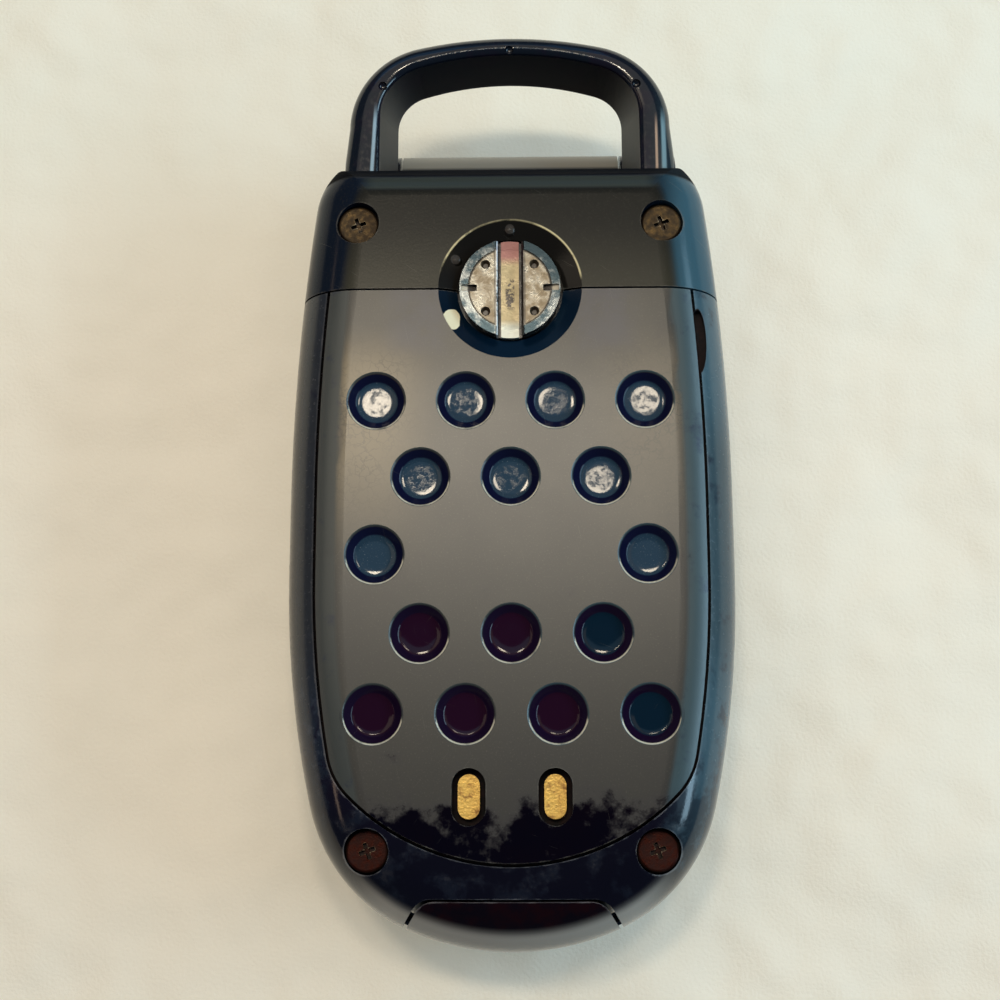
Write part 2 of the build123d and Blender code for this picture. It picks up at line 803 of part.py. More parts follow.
def make_lock_disc():
    """The coin-turned disc with its slot, raised rim, pits and ticks, on a short shaft."""
    seat = cover_z + fit_gap + key_seat_gap
    top = back_z + lock_rise
    face_z = top - lock_face_drop
    disc = post(0, split_y, lock_disc_radius, seat, top)
    disc -= post(0, split_y, lock_disc_radius - lock_rim_width, face_z, top + 1)
    broken = make_face(
        Polyline(
            (0, 0),
            on_circle((0, 0), 2 * lock_disc_radius, 90 + lock_rim_break),
            on_circle((0, 0), 2 * lock_disc_radius, 90 + 2 * lock_rim_break),
            close=True,
        )
    )
    disc -= slab(Pos(0, split_y) * broken, face_z, top + 1)
    slot_low = top - coin_slot_depth
    groove = make_face(
        Polyline(
            (-coin_slot_width / 2, slot_low),
            (coin_slot_width / 2, slot_low),
            (coin_slot_top_width / 2, top + lock_face_drop),
            (-coin_slot_top_width / 2, top + lock_face_drop),
            close=True,
        )
    )
    disc -= Pos(0, split_y, 0) * extrude(Plane.XZ * groove, far, both=True)
    for side in (-1, 1):
        gutter_x = side * (coin_slot_width + coin_gutter_width) / 2
        disc -= Pos(gutter_x, split_y, slot_low) * Box(coin_gutter_width, far, 2 * coin_gutter_depth)
    pit = Cone(lock_pit_radius / 2, lock_pit_radius, lock_pit_depth, align=(Align.CENTER, Align.CENTER, Align.MAX))
    for x in (-lock_pit_offset, lock_pit_offset):
        for y in (-lock_pit_offset, lock_pit_offset):
            disc -= Pos(x, split_y + y, face_z) * pit
    tick = Rotation(0, -lock_tick_slope, 0) * Box(
        lock_tick_length, lock_tick_width, far, align=(Align.MAX, Align.CENTER, Align.MIN)
    )
    for turn in (0, 180):
        disc -= Pos(0, split_y, 0) * Rotation(0, 0, turn) * Pos(
            lock_disc_radius - fit_gap, 0, face_z - lock_tick_depth / 5
        ) * tick
    shaft_low = cover_z - lock_pad_height - lock_cam_height
    disc += post(0, split_y, lock_shaft_radius, shaft_low, seat + fit_gap)
    return first_solid(disc)


def make_lock_cam():
    """The cam on the lock's shaft, under the cover's pad."""
    top = cover_z - lock_pad_height - key_seat_gap
    tongue = Rectangle(2 * lock_cam_radius, lock_cam_width, align=(Align.CENTER, Align.CENTER))
    plan = (Circle(lock_cam_radius) & Rotation(0, 0, 90) * tongue) - Circle(lock_shaft_radius)
    return slab(Pos(0, split_y) * plan, cover_z - lock_pad_height - lock_cam_height, top)


# ---------------------------------------------------------------- battery and charging
def make_battery_pack():
    """The battery, with recesses for the phone's terminals in its upper end."""
    pack = block(-battery_half_width, battery_half_width, battery_end_y - battery_length, battery_end_y,
                 battery_z, battery_top_z)
    pack = fillet(pack.edges().filter_by(Axis.Y), wall / 2)
    return first_solid(pack)


def make_battery_terminals():
    """The sprung terminals that reach the battery's end from the frame."""
    middle = (battery_z + battery_top_z) / 2
    first = -(terminal_count - 1) / 2 * terminal_pitch
    pins = []
    for index in range(terminal_count):
        x = first + index * terminal_pitch
        pins.append(
            block(x - terminal_size / 2, x + terminal_size / 2, battery_end_y, battery_end_y + bay_gap,
                  middle - terminal_size / 2, middle + terminal_size / 2)
        )
    return Compound(children=[first_solid(pin) for pin in pins])


def make_charge_contacts():
    """Two gilt charging contacts that show through the cover's windows."""
    pads = []
    for side in (-1, 1):
        plan = SlotOverall(contact_length, contact_width, rotation=90)
        pads.append(slab(Pos(side * contact_x, contact_y) * plan, ledge_z, back_z - contact_below_back))
    return Compound(children=[first_solid(pad) for pad in pads])


def port_cover_plan(grow=0):
    """The port cover's plan: a straight edge on the back, and ends that flare to the rim."""
    flare = math.tan(math.radians(port_cover_flare))
    inner_y = bottom_end_y + port_cover_from_end
    outer_y = bottom_end_y - 2
    reach = (inner_y - outer_y) * flare
    half = port_cover_half_width
    slant = grow / math.cos(math.radians(port_cover_flare))
    plan = make_face(
        Polyline(
            (-half - slant - grow * flare, inner_y + grow),
            (half + slant + grow * flare, inner_y + grow),
            (half + slant + reach, outer_y),
            (-half - slant - reach, outer_y),
            close=True,
        )
    )
    return fillet(plan.vertices().group_by(Axis.Y)[-1], port_cover_corner + grow)


def port_cover_pocket():
    """The place in the frame that the port cover fills, with its running gap."""
    plan = slab(port_cover_plan(port_cover_gap), rear_z - 1, back_z + 1)
    return plan - rounded_base(port_cover_thickness + fit_gap)


def make_charge_port_cover():
    """The cover of the charging port, flush with the rolled bottom end."""
    plan = slab(port_cover_plan(), rear_z + port_cover_gap, back_z + 1)
    cover = (rounded_base() & plan) - rounded_base(port_cover_thickness)
    return first_solid(cover)


def port_end_sag():
    """How far the round bottom end falls back at the port's corners."""
    return bottom_radius - math.sqrt(bottom_radius**2 - (port_width / 2 + fit_gap) ** 2)


def make_charge_connector():
    """The charging socket on the board behind the port cover."""
    low = board_top_z
    front = bottom_end_y + port_cover_thickness + port_end_sag() + fit_gap
    shell = block(-port_width / 2, port_width / 2, front, front + port_depth - wall, low, low + port_height)
    mouth = block(-port_width / 2 + wall / 2, port_width / 2 - wall / 2, front - 1, front + port_depth - 2 * wall,
                  low + wall / 2, low + port_height - wall / 2)
    return first_solid(shell - mouth)


# ---------------------------------------------------------------- screws
def make_case_screws():
    """The four recessed back screws with cross drives."""
    screws = []
    for x, y, head_top in screw_places:
        head = post(x, y, screw_head_radius, head_top - screw_head_height, head_top)
        head = fillet(head.faces().sort_by(Axis.Z)[-1].edges(), screw_head_height / 4)
        for turn in (screw_drive_turn, screw_drive_turn + 90):
            head -= Pos(x, y, head_top) * Rotation(0, 0, turn) * Box(
                screw_drive_length, screw_drive_width, 2 * screw_drive_depth
            )
        tip = base_z + panel + screw_tip_cover
        screws.append(first_solid(head + post(x, y, screw_shank_radius, tip, head_top - screw_head_height)))
    return Compound(children=screws)


# ---------------------------------------------------------------- keypad
def key_sketches():
    """Every key's place and plan, by name. Seen from the inner face, +X is on the left."""
    keys = {}
    pad = RectangleRounded(key_width, key_height, key_corner)
    rows = (("1", "2", "3"), ("4", "5", "6"), ("7", "8", "9"), ("star", "0", "pound"))
    for row, names in enumerate(rows):
        for column, name in enumerate(names):
            keys["key_" + name] = ((1 - column) * key_pitch_x, key_rows_top - row * key_pitch_y, pad)
    call_pad = RectangleRounded(key_width, call_key_height, key_corner)
    for column, name in enumerate(("send", "clear", "end")):
        keys["key_" + name] = ((1 - column) * key_pitch_x, call_key_y, call_pad)
    soft_pad = RectangleRounded(soft_key_width, soft_key_height, key_corner)
    keys["key_soft_left"] = (soft_key_x, soft_key_y, soft_pad)
    keys["key_soft_right"] = (-soft_key_x, soft_key_y, soft_pad)
    keys["key_nav_ring"] = (0, nav_y, Circle(nav_outer_radius))
    return keys


def make_key(x, y, sketch):
    """One key cap, its flange behind the panel and the pip that presses the dome."""
    cap = slab(Pos(x, y) * sketch, base_z - key_proud, base_z + panel + key_seat_gap)
    flange_z = base_z + panel + key_seat_gap
    flange = slab(Pos(x, y) * offset(sketch, key_gap + key_flange), flange_z, flange_z + key_flange_height)
    pip = post(x, y, key_pip_radius, flange_z, board_z - dome_thickness - key_travel - key_seat_gap)
    return cap + flange + pip


def make_keys():
    """All keys by name. The ring goes round the OK key."""
    keys = {name: first_solid(make_key(x, y, sketch)) for name, (x, y, sketch) in key_sketches().items()}
    ring = keys["key_nav_ring"]
    flange_z = base_z + panel + key_seat_gap
    ring_pips = [
        post(sx * (nav_outer_radius + nav_inner_radius) / 2, nav_y + sy * (nav_outer_radius + nav_inner_radius) / 2,
             key_pip_radius, flange_z, board_z - dome_thickness - key_travel - key_seat_gap)
        for sx, sy in ((1, 0), (-1, 0), (0, 1), (0, -1))
    ]
    ring -= post(0, nav_y, nav_inner_radius, base_z - 1, board_z)
    for pip in ring_pips:
        ring += pip
    keys["key_nav_ring"] = first_solid(ring)
    ok = post(0, nav_y, ok_radius, base_z - key_proud, flange_z + key_flange_height)
    ok += post(0, nav_y, key_pip_radius, flange_z, board_z - dome_thickness - key_travel - key_seat_gap)
    keys["key_ok"] = first_solid(ok)
    return keys


# ---------------------------------------------------------------- side keys
def side_key(length, y, side, travel_room):
    """A side key: the part that shows, and the flange that keeps it in the wall."""
    z0, z1 = side_key_z - side_key_height / 2, side_key_z + side_key_height / 2
    outline = body_outline(-side_key_proud)
    inner = body_outline(wall + travel_room)
    deep = body_outline(wall + travel_room + side_key_flange_depth)
    half = block(0, far, y - length / 2, y + length / 2, z0, z1)
    wide = block(0, far, y - length / 2 - side_key_flange, y + length / 2 + side_key_flange, z0, z1)
    key = (slab(outline - deep, z0, z1) & half) + (slab(inner - deep, z0, z1) & wide)
    key = first_solid(key)
    return mirror(key, about=Plane.YZ) if side < 0 else key


def side_key_openings():
    """The windows in the side walls and the room behind them for the flanges."""
    openings = []
    for length, y, side in ((rocker_length, rocker_y, -1), (camera_key_length, camera_key_y, 1)):
        z0 = side_key_z - side_key_height / 2 - fit_gap
        z1 = side_key_z + side_key_height / 2 + fit_gap
        reach = wall + side_key_depth
        window = slab(body_outline(-1) - body_outline(reach), z0, z1) & block(
            0, far, y - length / 2 - key_gap, y + length / 2 + key_gap, z0, z1
        )
        pocket = slab(body_outline(wall) - body_outline(reach), z0, z1) & block(
            0, far, y - length / 2 - side_key_flange - key_gap, y + length / 2 + side_key_flange + key_gap, z0, z1
        )
        opening = window + pocket
        openings.append(mirror(opening, about=Plane.YZ) if side < 0 else opening)
    return openings


# ---------------------------------------------------------------- inside the base
def make_main_board():
    """The base's circuit board on the front case's ledge."""
    plan = base_plan(wall + board_gap) & Pos(0, bottom_end_y + board_bottom_from_end) * Rectangle(
        far, hinge_y - board_top_from_hinge - bottom_end_y - board_bottom_from_end,
        align=(Align.CENTER, Align.MIN)
    )
    board = slab(plan, board_z, board_top_z)
    for x, y, _ in screw_places:
        board -= post(x, y, screw_boss_radius + board_gap, board_z - 1, board_top_z + 1)
    for opening in side_key_openings():
        board -= opening
    return first_solid(board)


def make_dome_sheet():
    """The sheet of snap domes between the board and the keys."""
    low = key_rows_top - 3 * key_pitch_y - key_height
    high = nav_y + nav_outer_radius + key_flange
    plan = base_plan(dome_inset) & Pos(0, low) * Rectangle(far, high - low, align=(Align.CENTER, Align.MIN))
    sheet = slab(plan, board_z - dome_thickness, board_z)
    for x, y, _ in screw_places:
        sheet -= post(x, y, screw_boss_radius + board_gap, base_z, board_top_z)
    return first_solid(sheet)


def make_shield_cans():
    """The two shield cans on the board's back."""
    cans = []
    for y in (can_length * 0.6, -can_length * 0.6):
        middle = (split_y + bottom_end_y) / 2 + y
        cans.append(first_solid(block(-can_width / 2, can_width / 2, middle - can_length / 2,
                                      middle + can_length / 2, board_top_z, board_top_z + can_height)))
    return Compound(children=cans)


def make_vibration_motor():
    """The round vibration motor on the board, under the upper rear case."""
    y = hinge_y - module_before_hinge - motor_radius
    rod = Rotation(0, 90, 0) * Cylinder(motor_radius, motor_length, align=(Align.CENTER, Align.CENTER, Align.MIN))
    return Pos(wall, y, board_top_z + motor_radius) * rod


def make_antenna_module():
    """The antenna block beside the motor."""
    y1 = hinge_y - module_before_hinge
    return block(-antenna_width - wall / 2, -wall / 2, y1 - antenna_depth, y1, board_top_z, board_top_z + antenna_height)


def make_microphone():
    """The microphone capsule behind its hole."""
    return post(0, bottom_end_y + mic_from_end, mic_radius, base_z + panel, base_z + panel + mic_height)


# ---------------------------------------------------------------- hinge parts
def make_hinge_cartridge():
    """The sprung detent cartridge in the lid's barrel, with the pivot that enters the base."""
    barrel = along_x(cartridge_radius, -barrel_half_length, cartridge_length - barrel_half_length)
    pivot = along_x(pivot_radius, -notch_half_width - pivot_engagement, -barrel_half_length + wall)
    return barrel + pivot


def make_hinge_bush():
    """The hollow bush in the barrel's other end, which the flex runs through."""
    inside = along_x(cartridge_radius, barrel_half_length - bush_length_inside, barrel_half_length)
    outside = along_x(bush_radius, barrel_half_length - wall, notch_half_width + pivot_engagement)
    hole = along_x(bush_bore_radius, 0, far)
    return inside + outside - hole


def make_hinge_flex():
    """The coiled flex between the lid and the base, lying in the bush."""
    start = cartridge_length - barrel_half_length + fit_gap
    return along_x(bush_bore_radius - fit_gap, start, notch_half_width + pivot_engagement)


# ---------------------------------------------------------------- lid shells
def lid_end_y():
    """Where the lid stops, short of the base's knuckles."""
    return hinge_y - knuckle_radius - 2 * knuckle_gap


def ramp_cutter():
    """What the sloping hinge end of the lid's face leaves out."""
    lean = math.radians(ramp_angle)
    start = hinge_y - (hinge_z * math.cos(lean) - knuckle_radius) / math.sin(lean)
    run = 2 * loop_reach
    face = make_face(
        Polyline(
            (start - run, -run * math.tan(lean)),
            (start + run, run * math.tan(lean)),
            (start + run, -run),
            (start - run, -run),
            close=True,
        )
    )
    return extrude(Plane.YZ * face, far / 2, both=True)


def lid_body(inset=0):
    """The lid's outer form without its barrel."""
    plan = body_outline(lid_inset + inset) & Pos(0, lid_end_y() - inset) * Rectangle(
        far, far, align=(Align.CENTER, Align.MAX)
    )
    solid = slab(plan, inset, lid_thickness - inset)
    rim = [
        edge
        for edge in solid.faces().sort_by(Axis.Z)[0].edges()
        if edge.center().Y < lid_end_y() - inset - 0.01
    ]
    return fillet(rim, lid_roll_radius - inset) - Pos(0, 0, inset / math.cos(math.radians(ramp_angle))) * ramp_cutter()


def make_lid_outer_shell():
    """The lid's outer half, which lies on the table, with its window and speaker holes."""
    shell = lid_body() & block(-far, far, -far, far, 0, lid_outer_height)
    room = lid_body(wall) & block(-far, far, -far, far, 0, lid_outer_height + 1)
    for x, y in lid_screw_places():
        room -= post(x, y, lid_boss_radius, 0, lid_outer_height)
    rib = block(-lid_rib_width / 2, lid_rib_width / 2, bottom_end_y, far, 0, lid_board_z)
    for x in (-lid_board_half_width + lid_rib_width, lid_board_half_width - lid_rib_width):
        room -= Pos(x, 0, 0) * rib
    shell -= room
    shell -= post(0, sub_display_y, sub_ring_outer + fit_gap, -1, wall + 1)
    shell -= post(0, camera_y, camera_barrel_radius + fit_gap, -1, wall + 1)
    shell -= post(flash_x, camera_y, flash_radius + fit_gap, -1, wall + 1)
    for index in range(speaker_hole_count):
        x, y = on_circle((0, speaker_y), speaker_hole_ring, index * 360 / speaker_hole_count)
        shell -= post(x, y, speaker_hole_radius, -1, wall + 1)
    for x, y in lid_screw_places():
        shell -= post(x, y, lid_screw_shank_radius + running_gap, wall, lid_outer_height + 1)
    return first_solid(shell)


def make_lid_inner_shell():
    """The lid's inner half with the display opening, the barrel and its web."""
    shell = lid_body() & block(-far, far, -far, far, lid_outer_height, lid_thickness)
    room = slab(body_outline(lid_inset + wall), lid_outer_height - 1, lid_thickness - panel)
    room &= block(-far, far, -far, lid_end_y() - wall, 0, lid_thickness)
    for x, y in lid_screw_places():
        room -= post(x, y, lid_boss_radius, 0, lid_thickness)
    shell -= room
    lean = math.radians(ramp_angle)
    tangent = (hinge_y + knuckle_radius * math.sin(lean), hinge_z - knuckle_radius * math.cos(lean))
    root_y = lid_end_y() - wall
    web = make_face(
        Polyline(
            (root_y, lid_outer_height),
            (tangent[0] - (tangent[1] - lid_outer_height) / math.tan(lean), lid_outer_height),
            tangent,
            (hinge_y, hinge_z),
            (hinge_y, lid_thickness),
            (root_y, lid_thickness),
            close=True,
        )
    )
    shell += extrude(Plane.YZ * web, barrel_half_length, both=True)
    shell += along_x(knuckle_radius, -barrel_half_length, barrel_half_length)
    shell -= along_x(cartridge_radius + running_gap, -far, cartridge_length - barrel_half_length)
    shell -= along_x(cartridge_radius + running_gap, barrel_half_length - bush_length_inside, far)
    shell -= along_x(bush_bore_radius, 0, far)
    lens = Rectangle(display_width + 2 * fit_gap, display_length + 2 * fit_gap)
    panel_room = Rectangle(display_width - 2 * display_panel_margin + 2 * fit_gap,
                           display_length - 2 * display_panel_margin + 2 * fit_gap)
    lens_z = lid_thickness - display_lens_drop - display_lens_thickness
    shell -= slab(Pos(0, display_y) * lens, lens_z, lid_thickness + 1)
    shell -= slab(Pos(0, display_y) * panel_room, lid_outer_height - 1, lid_thickness)
    slot = SlotOverall(sound_slot_width, sound_slot_height)
    shell -= slab(Pos(0, bottom_end_y + earpiece_from_end) * slot, lid_outer_height, lid_thickness + 1)
    for x, y in lid_screw_places():
        seat = lid_thickness - lid_screw_recess - lid_screw_head_height
        shell -= post(x, y, lid_screw_head_radius + fit_gap, seat, lid_thickness + 1)
        shell -= post(x, y, lid_screw_shank_radius + fit_gap, 0, lid_thickness)
    return first_solid(shell)


def lid_screw_places():
    """The lid's four screws."""
    return [(side * lid_screw_x, y) for y in (lid_screw_top_y, lid_screw_bottom_y) for side in (-1, 1)]


# ---------------------------------------------------------------- lid contents
def make_main_display_lens():
    """The window over the main display."""
    top = lid_thickness - display_lens_drop
    plan = Pos(0, display_y) * Rectangle(display_width, display_length)
    return slab(plan, top - display_lens_thickness, top)


def make_main_display_panel():
    """The main display under its window."""
    top = lid_thickness - display_lens_drop - display_lens_thickness
    plan = Pos(0, display_y) * Rectangle(
        display_width - 2 * display_panel_margin, display_length - 2 * display_panel_margin
    )
    return slab(plan, top - display_panel_thickness, top)


def make_sub_display_ring():
    """The ring round the outer display."""
    ring = post(0, sub_display_y, sub_ring_outer, outer_recess, wall)
    return first_solid(ring - post(0, sub_display_y, sub_ring_inner, 0, wall + 1))


def make_sub_display_lens():
    """The window of the outer display."""
    return post(0, sub_display_y, sub_ring_inner - fit_gap, 2 * outer_recess, 2 * outer_recess + sub_lens_thickness)


def make_sub_display_panel():
    """The outer display, between its window and the lid's board."""
    low = 2 * outer_recess + sub_lens_thickness
    side = sub_panel_half_width
    return block(-side, side, sub_display_y - side, sub_display_y + side, low, lid_board_z)


def make_lid_board():
    """The lid's circuit board on the outer shell's ribs."""
    board = block(-lid_board_half_width, lid_board_half_width, lid_board_low_y, lid_board_top_y,
                  lid_board_z, lid_board_z + lid_board_thickness)
    for x, y in lid_screw_places():
        board -= post(x, y, lid_boss_radius + board_gap, 0, lid_thickness)
    return first_solid(board)


def make_camera_module():
    """The camera, from its barrel in the lid's face to the board."""
    barrel = post(0, camera_y, camera_barrel_radius, outer_recess, wall + fit_gap)
    body = post(0, camera_y, camera_body_radius, wall, lid_board_z)
    return first_solid(barrel + body)


def make_flash_lens():
    """The flash beside the camera."""
    return post(flash_x, camera_y, flash_radius, outer_recess, lid_board_z)


def make_earpiece():
    """The earpiece behind its slot."""
    y = bottom_end_y + earpiece_from_end
    top = lid_thickness - panel
    return block(-earpiece_width / 2, earpiece_width / 2, y - earpiece_depth / 2, y + earpiece_depth / 2,
                 top - earpiece_height, top)


def make_loudspeaker():
    """The loudspeaker behind the outer face's holes."""
    return post(0, speaker_y, speaker_radius, wall, min(wall + speaker_height, lid_board_z))


def make_lid_bumpers():
    """Two soft bumpers that the base closes on."""
    y = bottom_end_y + bumper_from_end
    pads = [first_solid(post(side * bumper_x, y, bumper_radius, lid_thickness, lid_thickness + bumper_height))
            for side in (-1, 1)]
    return Compound(children=pads)


def make_lid_screws():
    """The four screws that hold the lid's halves together."""
    screws = []
    top = lid_thickness - lid_screw_recess
    for x, y in lid_screw_places():
        head = post(x, y, lid_screw_head_radius, top - lid_screw_head_height, top)
        head -= post(x, y, lid_screw_head_radius / 3, top - lid_screw_head_height / 2, top + 1)
        shank = post(x, y, lid_screw_shank_radius, top - lid_screw_length, top - lid_screw_head_height)
        screws.append(first_solid(head + shank))
    return Compound(children=screws)


# ---------------------------------------------------------------- every node
def all_nodes():
    """Each sub-part by its node name."""
    nodes = {
        "front_case": make_front_case(),
        "case_gasket": make_case_gasket(),
        "upper_rear_case": make_upper_rear_case(),
        "rear_case": make_rear_case(),
        "carry_loop": make_carry_loop(),
        "battery_cover": make_battery_cover(),
        "battery_seal": make_battery_seal(),
        "lock_disc": make_lock_disc(),
        "lock_cam": make_lock_cam(),
        "battery_pack": make_battery_pack(),
        "battery_terminals": make_battery_terminals(),
        "charge_contacts": make_charge_contacts(),
        "charge_port_cover": make_charge_port_cover(),
        "charge_connector": make_charge_connector(),
        "case_screws": make_case_screws(),
        "main_board": make_main_board(),
        "dome_sheet": make_dome_sheet(),
        "shield_cans": make_shield_cans(),
        "vibration_motor": make_vibration_motor(),
        "antenna_module": make_antenna_module(),
        "microphone": make_microphone(),
        "volume_rocker": side_key(rocker_length, rocker_y, -1, key_travel),
        "camera_key": side_key(camera_key_length, camera_key_y, 1, key_seat_gap),
        "hinge_cartridge": make_hinge_cartridge(),
        "hinge_bush": make_hinge_bush(),
        "hinge_flex": make_hinge_flex(),
        "lid_outer_shell": make_lid_outer_shell(),
        "lid_inner_shell": make_lid_inner_shell(),
        "lid_board": make_lid_board(),
        "lid_screws": make_lid_screws(),
        "lid_bumpers": make_lid_bumpers(),
        "main_display_lens": make_main_display_lens(),
        "main_display_panel": make_main_display_panel(),
        "sub_display_ring": make_sub_display_ring(),
        "sub_display_lens": make_sub_display_lens(),
        "sub_display_panel": make_sub_display_panel(),
        "camera_module": make_camera_module(),
        "flash_lens": make_flash_lens(),
        "earpiece": make_earpiece(),
        "loudspeaker": make_loudspeaker(),
    }
    nodes.update(make_keys())
    return nodes


os.makedirs("parts", exist_ok=True)
for node_name, node_shape in all_nodes().items():
    export_step(node_shape, "parts/" + node_name + ".step")
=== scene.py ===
import math

import bmesh
import bpy
from mathutils import Matrix, Vector


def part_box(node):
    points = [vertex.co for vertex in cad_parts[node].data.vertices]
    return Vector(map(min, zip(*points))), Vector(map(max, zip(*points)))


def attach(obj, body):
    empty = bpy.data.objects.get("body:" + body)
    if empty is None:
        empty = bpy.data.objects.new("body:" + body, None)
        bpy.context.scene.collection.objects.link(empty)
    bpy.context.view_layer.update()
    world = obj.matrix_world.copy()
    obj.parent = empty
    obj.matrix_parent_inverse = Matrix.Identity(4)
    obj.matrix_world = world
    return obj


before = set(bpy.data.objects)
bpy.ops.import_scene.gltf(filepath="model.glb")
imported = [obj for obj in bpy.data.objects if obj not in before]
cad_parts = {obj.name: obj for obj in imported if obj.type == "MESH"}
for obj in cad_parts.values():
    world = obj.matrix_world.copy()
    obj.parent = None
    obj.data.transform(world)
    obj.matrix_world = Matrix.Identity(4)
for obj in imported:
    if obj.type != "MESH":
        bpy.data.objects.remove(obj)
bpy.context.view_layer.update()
scene = bpy.context.scene

# ---------------------------------------------------------------- table cloth
# The phone lies on a pale cotton cloth, woven plain and washed soft, with a few
# low creases left from folding. It is laid over the table and carries the phone.


def feed(tree, socket, value):
    """Gives a socket another node's output, a number, or a colour."""
    if isinstance(value, bpy.types.NodeSocket):
        tree.links.new(value, socket)
    elif isinstance(value, tuple) and len(value) == 3 and socket.type == "RGBA":
        socket.default_value = value + (1,)
    else:
        socket.default_value = value


def add(tree, kind, options=None, **inputs):
    """Adds a shader node: options are its own settings, inputs are its sockets by name."""
    node = tree.nodes.new("ShaderNode" + kind)
    for name, value in (options or {}).items():
        setattr(node, name, value)
    for name, value in inputs.items():
        feed(tree, node.inputs[name.replace("_", " ")], value)
    return node


def maths(tree, operation, *values):
    """The result of one sum on sockets or numbers, such as MULTIPLY or SUBTRACT."""
    node = tree.nodes.new("ShaderNodeMath")
    node.operation = operation
    for socket, value in zip(node.inputs, values):
        feed(tree, socket, value)
    return node.outputs[0]


def rise(tree, value, low, high):
    """0 below low and 1 above high, with a soft step between. Falls instead where high is the lower."""
    turned = low > high
    node = add(tree, "MapRange", {"interpolation_type": "SMOOTHSTEP"}, Value=value)
    for name, number in (
        ("From Min", min(low, high)),
        ("From Max", max(low, high)),
        ("To Min", 1.0 if turned else 0.0),
        ("To Max", 0.0 if turned else 1.0),
    ):
        node.inputs[name].default_value = number
    return node.outputs["Result"]


def tint(tree, mask, under, over):
    """Colour over where the mask is 1, and colour under where it is 0."""
    node = tree.nodes.new("ShaderNodeMix")
    node.data_type = "RGBA"
    feed(tree, node.inputs[0], mask)
    feed(tree, node.inputs[6], under)
    feed(tree, node.inputs[7], over)
    return node.outputs[2]


def times(tree, first, *others):
    """All the values multiplied together."""
    for value in others:
        first = maths(tree, "MULTIPLY", first, value)
    return first


def either(tree, first, *others):
    """The largest of the values, so 1 where any of the masks is 1."""
    for value in others:
        first = maths(tree, "MAXIMUM", first, value)
    return first


def millimetres(tree):
    """Where a point of the piece is, as three sockets in millimetres."""
    place = add(tree, "VectorMath", {"operation": "SCALE"}, Vector=add(tree, "TexCoord").outputs["Object"])
    place.inputs["Scale"].default_value = 1000
    parts = add(tree, "SeparateXYZ", Vector=place.outputs[0])
    return parts.outputs


def effect(name, knobs, output, kind="NodeSocketFloat"):
    """An empty shader group with numbers to set and one output."""
    group = bpy.data.node_groups.new(name, "ShaderNodeTree")
    for knob, value in knobs.items():
        socket = group.interface.new_socket(name=knob, in_out="INPUT", socket_type="NodeSocketFloat")
        socket.default_value = value
    group.interface.new_socket(name=output, in_out="OUTPUT", socket_type=kind)
    ends = group.nodes.new("NodeGroupInput"), group.nodes.new("NodeGroupOutput")
    return group, ends[0].outputs, ends[1].inputs[0]


def placed(tree, group, **knobs):
    """Puts a group into a material with its own numbers and returns its output."""
    node = tree.nodes.new("ShaderNodeGroup")
    node.node_tree = group
    for name, value in knobs.items():
        feed(tree, node.inputs[name.replace("_", " ")], value)
    return node.outputs[0]


def finish(name, roughness, metallic=0.0, specular=0.5):
    """A new material, as its node tree and its shader."""
    material = bpy.data.materials.new(name)
    material.use_nodes = True
    shader = material.node_tree.nodes["Principled BSDF"]
    shader.inputs["Roughness"].default_value = roughness
    shader.inputs["Metallic"].default_value = metallic
    shader.inputs["Specular IOR Level"].default_value = specular
    return material, material.node_tree, shader


def coat(shader, **looks):
    """Feeds the shader's sockets by name, such as Base_Color or Roughness."""
    for name, value in looks.items():
        feed(shader.id_data, shader.inputs[name.replace("_", " ")], value)


def raise_grain(tree, shader, height, depth):
    """Lets a height of 0 to 1 stand out of the surface by depth in millimetres."""
    bump = add(tree, "Bump", Height=height)
    bump.inputs["Distance"].default_value = depth / 1000
    bump.inputs["Strength"].default_value = 1
    coat(shader, Normal=bump.outputs["Normal"])


def scaled_place(tree, size, seed):
    """A vector that grows by one each size millimetres, moved on by seed."""
    place = add(tree, "VectorMath", {"operation": "SCALE"}, Vector=add(tree, "TexCoord").outputs["Object"])
    feed(tree, place.inputs["Scale"], maths(tree, "DIVIDE", 1000, size))
    shift = add(tree, "VectorMath", {"operation": "ADD"}, Vector=place.outputs[0])
    feed(tree, shift.inputs[1], add(tree, "CombineXYZ", X=seed, Y=seed, Z=seed).outputs[0])
    return shift.outputs[0]


def noise(tree, place, detail=2, scale=1):
    """Cloudy noise that changes over about one unit of place."""
    node = add(tree, "TexNoise", Vector=place)
    node.inputs["Scale"].default_value = scale
    node.inputs["Detail"].default_value = detail
    return node


# blotches: soft-edged patches of a size in millimetres that cover a share of the surface
blotches, knob, result = effect("blotches", {"Size": 4, "Amount": 0.4, "Softness": 0.06, "Seed": 0}, "Mask")
patch = noise(blotches, scaled_place(blotches, knob["Size"], knob["Seed"]), detail=6)
patch.inputs["Roughness"].default_value = 0.62
middle = maths(blotches, "SUBTRACT", 0.78, times(blotches, knob["Amount"], 0.56))
edge = maths(blotches, "SUBTRACT", patch.outputs[0], middle)
edge = maths(blotches, "DIVIDE", edge, knob["Softness"])
blotches.links.new(rise(blotches, edge, -1, 1), result)

# speckle: fine grain of a size in millimetres, from 0 to 1
speckle, knob, result = effect("speckle", {"Size": 0.2, "Seed": 0}, "Height")
grain = noise(speckle, scaled_place(speckle, knob["Size"], knob["Seed"]), detail=3)
speckle.links.new(grain.outputs[0], result)


def patchy(tree, size, amount=0.5, soft=0.3, seed=0):
    """A mask of blotches of a size in millimetres over a share of the surface."""
    return placed(tree, blotches, Size=size, Amount=amount, Softness=soft, Seed=seed)


